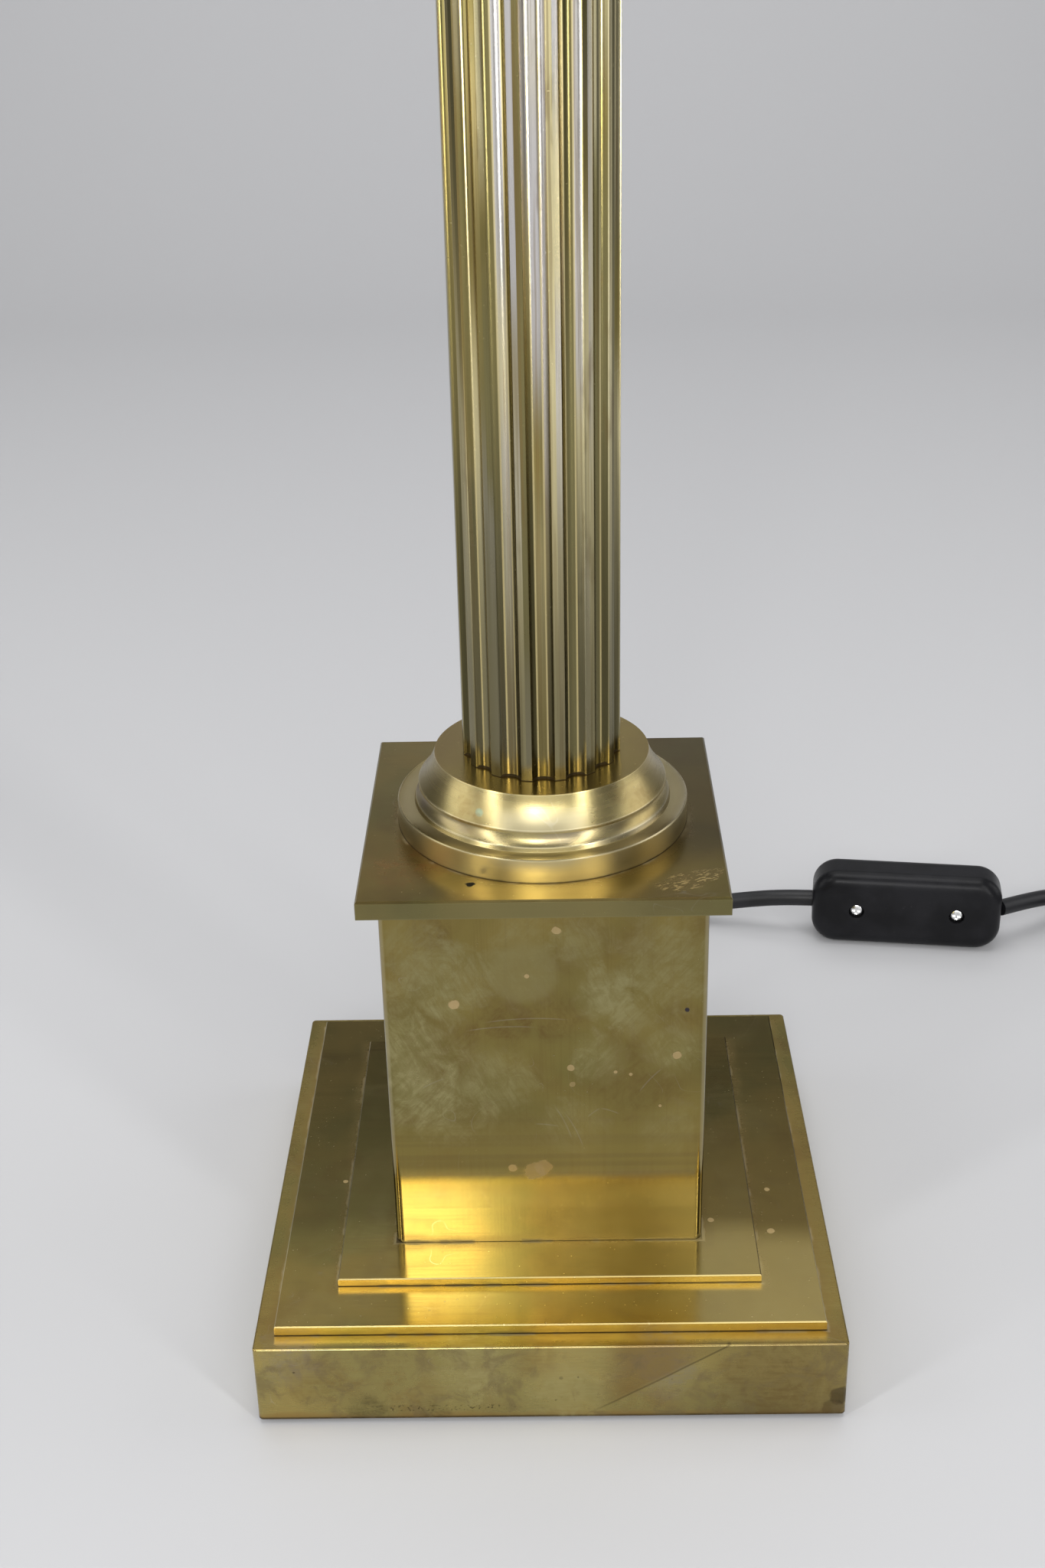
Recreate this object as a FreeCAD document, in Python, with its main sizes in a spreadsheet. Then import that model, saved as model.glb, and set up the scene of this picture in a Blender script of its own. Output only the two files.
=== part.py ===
import FreeCAD, Part
import math
import os
import Sketcher

# Column table lamp, millimetres, +Z up.
# Origin: on the surface the lamp stands on, under the middle of its square base. The front faces -Y.

Vector = FreeCAD.Vector
document = FreeCAD.newDocument("column_table_lamp")
sheet = document.addObject("Spreadsheet::Sheet", "Sizes")
pieces = []

# The driving dimensions, which go into the sheet under these names
SIZES = {
    # Base sizes
    "felt_thick": 1.5,  # felt under the base
    "felt_inset": 2.2,  # felt's edge inside the slab's edge
    "slab_side": 160.0,  # square slab
    "slab_height": 24.5,  # slab above the felt
    "slab_sheet": 1.6,  # brass sheet of the slab
    "slab_corner": 1.3,  # slab's upright corners
    "slab_edge": 0.5,  # slab's top edge
    "board_thick": 3.0,  # hardboard inside the slab's foot
    "ballast_gap": 4.4,  # between the cast-iron weight and the slab's walls
    "ballast_thick": 10.0,  # cast-iron weight
    "ballast_corner": 6.0,  # weight's upright corners
    "recess_width": 46.0,  # round recess under the weight for the nut
    "recess_depth": 4.0,  # same recess

    # Step plates, pedestal and cap
    "lower_step_ledge": 5.5,  # slab beyond the lower step plate
    "lower_step_thick": 3.0,  # lower step plate
    "upper_step_ledge": 16.05,  # lower step plate beyond the upper one
    "upper_step_thick": 2.5,  # upper step plate
    "plate_edge": 0.3,  # broken top edge of the plates
    "pedestal_side": 86.3,  # square pedestal box
    "pedestal_height": 108.65,  # square pedestal box
    "pedestal_corner": 2.3,  # box's upright corners
    "pedestal_sheet": 1.5,  # box's wall
    "locator_thick": 3.0,  # plates that centre the box
    "locator_clearance": 0.3,  # those plates inside the box's walls
    "cap_side": 96.5,  # cap plate
    "cap_thick": 5.2,  # cap plate
    "cap_edge": 0.5,  # cap plate's edges

    # Column
    "ring_radius": 39.7,  # plinth ring at the column's foot
    "ring_height": 6.5,  # plinth ring
    "ledge_radius": 35.1,  # where the plinth ring's hollow ledge ends
    "ledge_curve": 11.7,  # hollow of the ledge
    "bead_radius": 34.7,  # narrow bead over the ledge
    "bead_height": 1.3,  # narrow bead
    "bead_curve": 5.2,  # slope up to the narrow bead
    "scotia_radius": 32.9,  # throat of the hollow over the bead
    "scotia_top": 11.3,  # height of the hollow's top
    "flare_radius": 33.8,  # foot of the flare
    "flare_lip": 0.8,  # upright lip at the flare's foot
    "flare_curve": 20.3,  # hollow of the flare
    "base_top_radius": 29.15,  # flat top of the turned base
    "base_height": 20.3,  # turned base
    "shaft_radius": 21.35,  # fluted shaft over its lands
    "shaft_bore": 35.0,  # shaft's bore
    "shaft_length": 320.0,  # fluted shaft
    "flute_count": 15,  # flutes round the shaft
    "flute_depth": 1.9,  # flutes below the lands
    "flute_radius": 3.6,  # hollow of each flute
    "flute_turn": 1.5,  # degrees from the front to the nearest flute
    "spigot_height": 6.0,  # spigots that centre the shaft
    "capital_height": 30.0,  # turned capital
    "capital_foot_radius": 24.4,  # bead at the capital's foot
    "capital_foot_bead": 2.2,  # radius of the same bead
    "capital_neck_radius": 20.4,  # capital's neck
    "capital_neck_height": 9.0,  # capital's neck above the foot bead
    "capital_fillet_radius": 22.6,  # fillet under the echinus
    "capital_fillet_height": 1.6,  # same fillet
    "echinus_radius": 30.2,  # echinus at its widest
    "echinus_lip": 2.6,  # upright top edge of the echinus
    "echinus_curve": 18.0,  # round of the echinus
    "abacus_side": 66.0,  # square plate on the capital
    "abacus_thick": 6.0,  # same plate
    "crown_side": 50.0,  # smaller square plate over it
    "crown_thick": 3.0,  # same plate

    # Tie tube, nuts and neck
    "tube_width": 10.0,  # threaded tie tube
    "tube_bore": 8.0,  # tie tube's bore
    "tube_clearance": 0.4,  # holes for the tie tube over its width
    "tube_below": 1.0,  # tie tube below the bottom nut
    "nut_flats": 14.0,  # nuts across the flats
    "nut_thick": 4.0,  # both nuts
    "washer_width": 28.0,  # bottom washer
    "washer_thick": 1.5,  # bottom washer
    "top_washer_width": 20.0,  # top washer
    "top_washer_thick": 1.0,  # top washer
    "neck_height": 30.0,  # turned neck
    "neck_foot_radius": 17.0,  # neck's foot
    "neck_foot_height": 2.4,  # neck's foot
    "neck_cove": 24.0,  # hollow between the neck's foot and its waist
    "neck_waist_radius": 7.8,  # neck's waist
    "neck_ball_radius": 3.2,  # bead round the neck
    "neck_top_radius": 9.6,  # neck's top
    "neck_room_width": 22.0,  # room for the top nut in the neck's foot
    "neck_room_height": 6.2,  # same room

    # Lampholder for a large Edison screw lamp
    "holder_cap_height": 22.0,  # holder's domed cap
    "holder_hub_radius": 9.0,  # cap's hub
    "holder_hub_height": 4.0,  # cap's hub
    "holder_cap_radius": 20.8,  # cap's rim
    "holder_rim_height": 6.0,  # cap's upright rim
    "dome_curve": 16.6,  # round of the cap's dome
    "holder_wall": 1.6,  # brass of the cap and the skirt
    "skirt_radius": 19.6,  # skirt over its thread
    "skirt_thread_length": 16.0,  # threaded part of the skirt, from the cap's rim
    "skirt_plain_radius": 19.2,  # skirt above its thread
    "skirt_height": 38.0,  # skirt above the cap's rim
    "skirt_mouth_radius": 15.2,  # skirt's mouth
    "skirt_entry": 3.0,  # skirt inside the cap's rim
    "insert_radius": 17.8,  # ceramic insert
    "insert_height": 11.0,  # ceramic insert
    "insert_drop": 5.0,  # insert's foot below the cap's rim
    "lead_hole_width": 2.8,  # holes in the insert for the conductors
    "lead_hole_depth": 6.6,  # same holes
    "lead_spread": 5.6,  # terminals from the axis
    "socket_radius": 13.2,  # inside of the screw shell
    "socket_wall": 0.45,  # screw shell
    "socket_length": 24.0,  # screw shell
    "socket_foot_radius": 11.8,  # inside of the shell's foot, round the contact
    "socket_foot_height": 4.6,  # same foot
    "contact_width": 6.0,  # sprung centre contact
    "contact_thick": 0.8,  # sprung centre contact
    "contact_rise": 3.5,  # centre contact's tongue above the insert
    "shade_ring_radius": 28.0,  # shade rings
    "shade_ring_thick": 5.0,  # shade rings
    "shade_ring_gap": 0.2,  # shade rings round the skirt
    "shade_ring_lip": 2.0,  # shade rings' thick part beyond the thread
    "shade_ring_start": 1.2,  # lower shade ring above the cap's rim

    # Cord, its hole and its clamp
    "cord_width": 6.2,  # round mains cord
    "cord_height": 10.5,  # cord's hole above the surface
    "cord_stripped": 38.0,  # where the sheath ends, behind the axis
    "cord_clearance": 0.3,  # holes for the cord over its width
    "relief_neck_width": 9.6,  # sleeve in the slab's wall
    "relief_flange_width": 11.6,  # sleeve's flanges
    "relief_flange_thick": 1.5,  # sleeve's flanges
    "relief_length": 26.0,  # tapered sleeve behind the slab
    "relief_tip_width": 8.2,  # sleeve's tip
    "wall_clearance": 0.2,  # sleeve in the slab's wall
    "saddle_sheet": 1.2,  # cord saddle's strip
    "saddle_width": 9.0,  # cord saddle along the cord
    "saddle_reach": 12.5,  # cord saddle's ears each side
    "saddle_screw_out": 8.6,  # saddle's screws from the cord
    "saddle_in": 24.0,  # saddle's middle inside the slab's back
    "screw_width": 3.0,  # small screws
    "screw_head_width": 5.4,  # small screws' heads
    "screw_head_thick": 1.8,  # small screws' heads
    "screw_length": 7.0,  # small screws' shanks
    "screw_clearance": 0.4,  # screw holes over the screws' width
    "lead_width": 2.0,  # conductors in the tie tube
    "lead_apart": 2.6,  # conductors' middles
    "lead_drop": 6.6,  # conductors' middle where they run flat
    "lead_bend": 8.0,  # conductors' corner under the tie tube, behind the axis
    "lead_rise": 3.0,  # conductors' corner on the axis, above their flat run
    "lead_fan_start": 1.0,  # conductors part below the tie tube's top
    "lead_fan_end": 5.0,  # conductors' last corner below the insert
    "lead_seat": 1.5,  # conductors inside the insert

    # Inline switch, built with its cord axis along its own X and its rocker towards its own +Y
    "switch_length": 71.0,  # switch along the cord
    "switch_width": 30.0,  # switch's broad side
    "switch_corner": 9.5,  # corners of the broad side
    "switch_upper_thick": 10.0,  # rocker-side shell
    "switch_lower_thick": 8.0,  # screw-side shell
    "switch_split": -1.0,  # parting face from the cord's axis
    "switch_edge": 5.2,  # rounded edges of both shells
    "switch_wall": 2.3,  # both shells
    "switch_inside_corner": 7.0,  # corners of the hollow
    "switch_middle_x": 137.9,  # where the switch lies
    "switch_middle_y": 172.9,  # where the switch lies
    "switch_turn": -7.8,  # degrees about the upright
    "cord_entry": 6.0,  # cord inside the end of the switch on the lamp's side
    "cord_exit_entry": 0.0,  # cord inside the switch's other end
    "cord_mouth_width": 8.0,  # holes in the switch's ends
    "rocker_length": 25.4,  # rocker
    "rocker_width": 13.4,  # rocker
    "rocker_gap": 0.35,  # slot round the rocker's sides
    "rocker_end_gap": 1.0,  # slot at the rocker's ends
    "rocker_crown": 10.6,  # rocker's ends above the cord's axis
    "rocker_middle": 9.0,  # rocker's middle above the cord's axis
    "rocker_foot": 4.2,  # rocker's underside above the cord's axis
    "pivot_level": 5.0,  # rocker's pivot above the cord's axis
    "pivot_width": 3.0,  # rocker's pivot stubs
    "pivot_clearance": 0.16,  # pivot holes over the stubs
    "rocker_tilt": 8.0,  # degrees from level to each stop
    "rib_thick": 2.0,  # ribs that hold the pivot
    "rib_half": 3.6,  # ribs each side of the pivot
    "rib_depth": 5.0,  # ribs below the upper shell's wall
    "rocker_foot_low": 0.6,  # rib under the rocker, above the cord's axis
    "rocker_foot_overlap": 0.5,  # the same rib inside the rocker
    "switch_screw_apart": 37.5,  # switch's two screws
    "switch_screw_sunk": 0.4,  # screw heads below the lower shell's face
    "boss_width": 7.0,  # bosses round the screws
    "terminal_long": 9.0,  # terminal blocks
    "terminal_wide": 4.6,  # terminal blocks
    "terminal_high": 5.0,  # terminal blocks
    "terminal_out": 7.6,  # terminal blocks from the axis
    "leaf_thick": 0.5,  # contact leaf
    "leaf_width": 4.0,  # contact leaf

    # Plug
    "plug_wide": 35.3,  # plug's face
    "plug_thick": 13.7,  # plug's face
    "plug_face_length": 10.0,  # plug's straight front
    "plug_taper_length": 24.0,  # plug's shoulders
    "plug_tail_length": 24.0,  # plug's tapered tail
    "plug_shoulder_set": 1.0,  # shoulders inside the straight front's outline
    "plug_neck_width": 11.0,  # shoulders at the tail
    "plug_neck_set": 1.0,  # tail inside the shoulders' outline
    "plug_tip_width": 8.0,  # tail at the cord
    "plug_flat": 0.5,  # flats between the round ends of the tail's sections
    "pin_width": 4.0,  # plug's pins
    "pin_apart": 18.6,  # plug's pins
    "pin_length": 19.0,  # pins beyond the face
    "pin_root": 8.0,  # pins inside the plug
    "sleeve_length": 10.0,  # insulated part of each pin
    "sleeve_width": 3.5,  # insulated part of each pin
    "sleeve_wall": 0.35,  # insulated part of each pin
    "pin_joint": 1.0,  # pin's thinner part inside its root

    # Coil
    "coil_middle_x": 251.0,  # where the coil lies
    "coil_middle_y": 172.0,  # where the coil lies
    "coil_radius": 34.0,  # middle of the turns
    "coil_band": 25.8,  # breadth of the turns side by side
    "coil_height": 12.5,  # height of the turns on each other
}

for row, (name, value) in enumerate(SIZES.items(), 1):
    sheet.set(f"A{row}", name)
    sheet.set(f"B{row}", str(value))
    sheet.setAlias(f"B{row}", name)
document.recompute()


def number(expression):
    """The value of an expression in the sheet's names."""
    return float(sheet.evalExpression(expression))


# Levels of the stack, from the surface up
SLAB_TOP = "(Sizes.felt_thick + Sizes.slab_height)"
BALLAST_TOP = f"({SLAB_TOP} - Sizes.slab_sheet)"
BALLAST_FOOT = f"({BALLAST_TOP} - Sizes.ballast_thick)"
RECESS_TOP = f"({BALLAST_FOOT} + Sizes.recess_depth)"
WASHER_FOOT = f"({RECESS_TOP} - Sizes.washer_thick)"
NUT_FOOT = f"({WASHER_FOOT} - Sizes.nut_thick)"
TUBE_FOOT = f"({NUT_FOOT} - Sizes.tube_below)"
LOWER_STEP_TOP = f"({SLAB_TOP} + Sizes.lower_step_thick)"
LOWER_STEP_SIDE = "(Sizes.slab_side - 2 * Sizes.lower_step_ledge)"
UPPER_STEP_SIDE = f"({LOWER_STEP_SIDE} - 2 * Sizes.upper_step_ledge)"
UPPER_STEP_TOP = f"({LOWER_STEP_TOP} + Sizes.upper_step_thick)"
PEDESTAL_TOP = f"({UPPER_STEP_TOP} + Sizes.pedestal_height)"
CAP_TOP = f"({PEDESTAL_TOP} + Sizes.cap_thick)"
COLUMN_FOOT = f"({CAP_TOP} + Sizes.base_height)"
SHAFT_TOP = f"({COLUMN_FOOT} + Sizes.shaft_length)"
CAPITAL_TOP = f"({SHAFT_TOP} + Sizes.capital_height)"
ABACUS_TOP = f"({CAPITAL_TOP} + Sizes.abacus_thick)"
CROWN_TOP = f"({ABACUS_TOP} + Sizes.crown_thick)"
NECK_TOP = f"({CROWN_TOP} + Sizes.neck_height)"
HOLDER_RIM = f"({NECK_TOP} + Sizes.holder_cap_height)"
INSERT_FOOT = f"({HOLDER_RIM} - Sizes.insert_drop)"
INSERT_TOP = f"({INSERT_FOOT} + Sizes.insert_height)"
TUBE_HOLE = "(Sizes.tube_width + Sizes.tube_clearance)"
CORD_HOLE = "(Sizes.cord_width + Sizes.cord_clearance)"
SLAB_BACK = "(Sizes.slab_side / 2)"
SADDLE_BACK = f"({SLAB_BACK} - Sizes.saddle_in)"
SWITCH_HALF = "(Sizes.switch_length / 2)"
SWITCH_MIDDLE_Z = "(Sizes.switch_width / 2)"


def keep(label, thing):
    """Name a sub-part and put it on the list that is written out."""
    thing.Label = label
    pieces.append(thing)
    return thing


def new_body(label, level="0"):
    """An empty body of one piece, standing at a level of the stack."""
    body = document.addObject("PartDesign::Body", f"Body_{label}")
    if level != "0":
        body.setExpression("Placement.Base.z", level)
    return keep(label, body)


def sketch_on(body, name, plane="XY_Plane", offset="0"):
    """A sketch on one of the body's own planes, moved along that plane's normal."""
    sketch = body.newObject("Sketcher::SketchObject", name)
    plane_object = [item for item in body.Origin.OriginFeatures if item.Role == plane][0]
    sketch.AttachmentSupport = [(plane_object, "")]
    sketch.MapMode = "FlatFace"
    if offset != "0":
        sketch.setExpression("AttachmentOffset.Base.z", offset)
    return sketch


def bind(sketch, kind, expression, *places):
    """One dimension of a sketch, bound to the sheet."""
    index = sketch.addConstraint(Sketcher.Constraint(kind, *places, number(expression)))
    sketch.setExpression(f"Constraints[{index}]", expression)


def place_point(sketch, curve, end, x, y):
    """Bind one end or centre of a curve to a place from the sketch's origin."""
    for kind, expression, axis in (("DistanceX", x, -2), ("DistanceY", y, -1)):
        if expression == "0":
            sketch.addConstraint(Sketcher.Constraint("PointOnObject", curve, end, axis))
        else:
            bind(sketch, kind, expression, -1, 1, curve, end)


def arc_between(start, finish, radius, turn):
    """An arc from start to finish that turns left or right, with its short way round."""
    middle = (start + finish) / 2
    chord = finish - start
    rise = math.sqrt(max(radius ** 2 - (chord.Length / 2) ** 2, 0.0))
    side = Vector(-chord.y, chord.x, 0).normalize()
    centre = middle + side * rise if turn == "left" else middle - side * rise
    first, last = (start, finish) if turn == "left" else (finish, start)
    circle = Part.Circle(centre, Vector(0, 0, 1), radius)
    return Part.ArcOfCircle(circle, circle.parameter(first), circle.parameter(last))


def outline(sketch, corners):
    """A closed outline. A corner is (x, y), or (x, y, radius, turn) where an arc leaves it."""
    points = [Vector(number(corner[0]), number(corner[1]), 0) for corner in corners]
    edges = []
    for index, corner in enumerate(corners):
        start, finish = points[index], points[(index + 1) % len(points)]
        if len(corner) == 2:
            curve = sketch.addGeometry(Part.LineSegment(start, finish))
            edges.append((curve, 1, 2))
            continue
        turn = corner[3]
        curve = sketch.addGeometry(arc_between(start, finish, number(corner[2]), turn))
        edges.append((curve, 1, 2) if turn == "left" else (curve, 2, 1))
    for index, (curve, start_end, finish_end) in enumerate(edges):
        following = edges[(index + 1) % len(edges)]
        sketch.addConstraint(Sketcher.Constraint("Coincident", curve, finish_end, following[0], following[1]))
    for index, (curve, start_end, finish_end) in enumerate(edges):
        corner = corners[index]
        place_point(sketch, curve, start_end, corner[0], corner[1])
        if len(corner) < 4:
            continue
        chord = points[(index + 1) % len(points)] - points[index]
        if chord.Length < 2 * number(corner[2]) - 1e-6:
            bind(sketch, "Radius", corner[2], curve)
        else:
            level = "Vertical" if abs(chord.x) < 1e-6 else "Horizontal"
            sketch.addConstraint(Sketcher.Constraint(level, curve, 1, curve, 3))


def circle(sketch, width, x="0", y="0"):
    """A circle given by its width and its middle."""
    middle = Vector(number(x), number(y), 0)
    curve = sketch.addGeometry(Part.Circle(middle, Vector(0, 0, 1), number(width) / 2))
    place_point(sketch, curve, 3, x, y)
    bind(sketch, "Diameter", width, curve)


def rectangle(sketch, left, right, low, high):
    """A rectangle between four bound sides."""
    outline(sketch, [(left, low), (right, low), (right, high), (left, high)])


def square(sketch, side):
    """A square about the sketch's origin."""
    half = f"({side}) / 2"
    rectangle(sketch, f"-{half}", half, f"-{half}", half)


def rounded_rectangle(sketch, width, height, radius):
    """A rectangle about the origin with round corners."""
    x, y = f"({width}) / 2", f"({height}) / 2"
    inner_x, inner_y = f"({width}) / 2 - {radius}", f"({height}) / 2 - {radius}"
    outline(sketch, [
        (f"-({inner_x})", f"-{y}"), (inner_x, f"-{y}", radius, "left"),
        (x, f"-({inner_y})"), (x, inner_y, radius, "left"),
        (inner_x, y), (f"-({inner_x})", y, radius, "left"),
        (f"-{x}", inner_y), (f"-{x}", f"-({inner_y})", radius, "left"),
    ])


def slot(sketch, length, width):
    """A slot about the origin with round ends, given over all."""
    straight, half = f"(({length}) - ({width})) / 2", f"({width}) / 2"
    outline(sketch, [
        (f"-({straight})", f"-{half}"), (straight, f"-{half}", half, "left"),
        (straight, half), (f"-({straight})", half, half, "left"),
    ])


def pad(body, sketch, length, reverse=False, symmetric=False):
    """Raise a sketch into a solid."""
    feature = body.newObject("PartDesign::Pad", f"Pad_{sketch.Name}")
    feature.Profile = sketch
    feature.setExpression("Length", length)
    feature.Reversed = reverse
    if symmetric:
        feature.SideType = "Symmetric"
    return feature


def cut(body, sketch, depth=None, reverse=False):
    """Cut a sketch out of the solid, right through where no depth is given."""
    document.recompute()
    before = body.Shape.Volume
    feature = body.newObject("PartDesign::Pocket", f"Pocket_{sketch.Name}")
    feature.Profile = sketch
    feature.Reversed = reverse
    if depth is None:
        feature.Type = "ThroughAll"
    else:
        feature.setExpression("Length", depth)
    document.recompute()
    if not body.Shape.Volume < before - 1e-6:
        raise ValueError(f"{sketch.Name} cuts nothing out of {body.Label}")
    return feature


def turned(label, level, corners):
    """A body turned about its upright axis from half its section."""
    body = new_body(label, level)
    section = sketch_on(body, f"Section_{label}", "XZ_Plane")
    outline(section, corners)
    feature = body.newObject("PartDesign::Revolution", f"Turning_{label}")
    feature.Profile = section
    feature.ReferenceAxis = (section, ["V_Axis"])
    feature.Angle = 360
    return body


def edges_where(shape, test):
    """Names of the edges of a shape for which a test of their box and curve holds."""
    return [f"Edge{index}" for index, edge in enumerate(shape.Edges, 1) if test(edge)]


def lies_at(edge, axis, level):
    """Whether an edge lies flat at one level of X, Y or Z."""
    box = edge.BoundBox
    low, high = getattr(box, f"{axis}Min"), getattr(box, f"{axis}Max")
    return abs(low - level) < 1e-4 and abs(high - level) < 1e-4


def soften(body, kind, edges, value, name):
    """Fillet or chamfer named edges of the body's last feature."""
    base = body.Tip
    feature = body.newObject(f"PartDesign::{kind}", name)
    feature.Base = (base, edges)
    feature.setExpression("Radius" if kind == "Fillet" else "Size", value)
    document.recompute()
    return feature


def plate(label, level, side, thick, edge, hole=None):
    """A square plate with broken top edges and an optional hole for the tie tube."""
    body = new_body(label, level)
    face = sketch_on(body, f"Face_{label}")
    square(face, side)
    pad(body, face, thick)
    document.recompute()
    top = number(thick)
    rim = edges_where(body.Tip.Shape, lambda item: lies_at(item, "Z", top))
    soften(body, "Chamfer", rim, edge, f"Edges_{label}")
    if hole:
        bore = sketch_on(body, f"Bore_{label}")
        circle(bore, hole)
        cut(body, bore, reverse=True)
    return body


def ring(label, level, width, bore, thick):
    """A flat ring, such as a washer or a length of tube."""
    body = new_body(label, level)
    face = sketch_on(body, f"Face_{label}")
    circle(face, width)
    circle(face, bore)
    pad(body, face, thick)
    return body


def nut(label, level):
    """A hexagon nut on the tie tube."""
    prism = document.addObject("Part::Prism", f"Hexagon_{label}")
    prism.Polygon = 6
    prism.setExpression("Circumradius", "Sizes.nut_flats / 2 / cos(30 deg)")
    prism.setExpression("Height", "Sizes.nut_thick")
    bore = document.addObject("Part::Cylinder", f"Bore_{label}")
    bore.setExpression("Radius", f"{TUBE_HOLE} / 2")
    bore.setExpression("Height", "Sizes.nut_thick")
    solid = document.addObject("Part::Cut", f"Nut_{label}")
    solid.Base, solid.Tool = prism, bore
    solid.setExpression("Placement.Base.z", level)
    return keep(label, solid)


def felt_and_board():
    """The felt and the hardboard that close the slab from below."""
    felt = new_body("felt_pad")
    face = sketch_on(felt, "Face_felt")
    square(face, "Sizes.slab_side - 2 * Sizes.felt_inset")
    pad(felt, face, "Sizes.felt_thick")
    board = new_body("base_board", "Sizes.felt_thick")
    inside = "Sizes.slab_side - 2 * Sizes.slab_sheet - 2 * Sizes.wall_clearance"
    face = sketch_on(board, "Face_board")
    square(face, inside)
    pad(board, face, "Sizes.board_thick")


def slab():
    """The folded slab: a top and four sides, open below, with holes for the tube and the cord."""
    body = new_body("base_shell", "Sizes.felt_thick")
    outside = sketch_on(body, "Outside_slab")
    rounded_rectangle(outside, "Sizes.slab_side", "Sizes.slab_side", "Sizes.slab_corner")
    pad(body, outside, "Sizes.slab_height")
    document.recompute()
    top = number("Sizes.slab_height")
    rim = edges_where(body.Tip.Shape, lambda item: lies_at(item, "Z", top))
    soften(body, "Fillet", rim, "Sizes.slab_edge", "Top_edge_slab")
    inside = sketch_on(body, "Inside_slab")
    square(inside, "Sizes.slab_side - 2 * Sizes.slab_sheet")
    cut(body, inside, "Sizes.slab_height - Sizes.slab_sheet", reverse=True)
    bore = sketch_on(body, "Bore_slab")
    circle(bore, TUBE_HOLE)
    cut(body, bore, reverse=True)
    cord_hole = sketch_on(body, "Cord_hole_slab", "XZ_Plane")
    circle(cord_hole, "Sizes.relief_neck_width + Sizes.wall_clearance * 2", "0",
           "Sizes.cord_height - Sizes.felt_thick")
    cut(body, cord_hole)


def ballast():
    """The cast weight under the slab's top, with a recess for the nut and holes for the saddle's screws."""
    body = new_body("base_ballast", BALLAST_FOOT)
    face = sketch_on(body, "Face_ballast")
    across = "(Sizes.slab_side - 2 * Sizes.slab_sheet - 2 * Sizes.ballast_gap)"
    rounded_rectangle(face, across, across, "Sizes.ballast_corner")
    pad(body, face, "Sizes.ballast_thick")
    recess = sketch_on(body, "Recess_ballast")
    circle(recess, "Sizes.recess_width")
    cut(body, recess, "Sizes.recess_depth", reverse=True)
    bore = sketch_on(body, "Bore_ballast")
    circle(bore, TUBE_HOLE)
    cut(body, bore, reverse=True)
    holes = sketch_on(body, "Screw_holes_ballast")
    for side in ("-", ""):
        circle(holes, "Sizes.screw_width + Sizes.screw_clearance",
               f"{side}Sizes.saddle_screw_out", SADDLE_BACK)
    cut(body, holes, "Sizes.screw_length", reverse=True)


def saddle():
    """The strip that holds the cord up against the weight."""
    body = new_body("cord_saddle", BALLAST_FOOT)
    strip = sketch_on(body, "Strip_saddle", "XZ_Plane", f"-({SADDLE_BACK} + Sizes.saddle_width / 2)")
    inner = f"({CORD_HOLE} / 2)"
    outer = f"({CORD_HOLE} / 2 + Sizes.saddle_sheet)"
    drop = f"({BALLAST_FOOT} - Sizes.cord_height)"
    outline(strip, [
        ("-Sizes.saddle_reach", "0"), ("-Sizes.saddle_reach", "-Sizes.saddle_sheet"),
        (f"-{outer}", "-Sizes.saddle_sheet"), (f"-{outer}", f"-{drop}", outer, "left"),
        (outer, f"-{drop}"), (outer, "-Sizes.saddle_sheet"),
        ("Sizes.saddle_reach", "-Sizes.saddle_sheet"), ("Sizes.saddle_reach", "0"),
        (inner, "0"), (inner, f"-{drop}", inner, "right"),
        (f"-{inner}", f"-{drop}"), (f"-{inner}", "0"),
    ])
    pad(body, strip, "Sizes.saddle_width")
    holes = sketch_on(body, "Holes_saddle")
    for side in ("-", ""):
        circle(holes, "Sizes.screw_width + Sizes.screw_clearance",
               f"{side}Sizes.saddle_screw_out", SADDLE_BACK)
    cut(body, holes)


def screw_at(name, place, direction):
    """A pan-head screw, its head's underside at a place and its shank along a direction."""
    head = document.addObject("Part::Cylinder", f"Head_{name}")
    head.setExpression("Radius", "Sizes.screw_head_width / 2")
    head.setExpression("Height", "Sizes.screw_head_thick")
    head.setExpression("Placement.Base.z", "-Sizes.screw_head_thick")
    shank = document.addObject("Part::Cylinder", f"Shank_{name}")
    shank.setExpression("Radius", "Sizes.screw_width / 2")
    shank.setExpression("Height", "Sizes.screw_length - Sizes.wall_clearance")
    screw = document.addObject("Part::Fuse", f"Screw_{name}")
    screw.Base, screw.Tool = head, shank
    screw.Placement = FreeCAD.Placement(place, FreeCAD.Rotation(Vector(0, 0, 1), direction))
    return screw


def group(label, members):
    """Identical fasteners as separate solids of one node."""
    compound = document.addObject("Part::Compound", f"Group_{label}")
    compound.Links = members
    return keep(label, compound)


def saddle_screws():
    """The two screws through the saddle's ears into the weight."""
    level = number(f"{BALLAST_FOOT} - Sizes.saddle_sheet")
    out, back = number("Sizes.saddle_screw_out"), number(SADDLE_BACK)
    screws = [screw_at(f"saddle_{index}", Vector(x, back, level), Vector(0, 0, 1))
              for index, x in enumerate((-out, out))]
    group("saddle_screws", screws)


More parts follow.
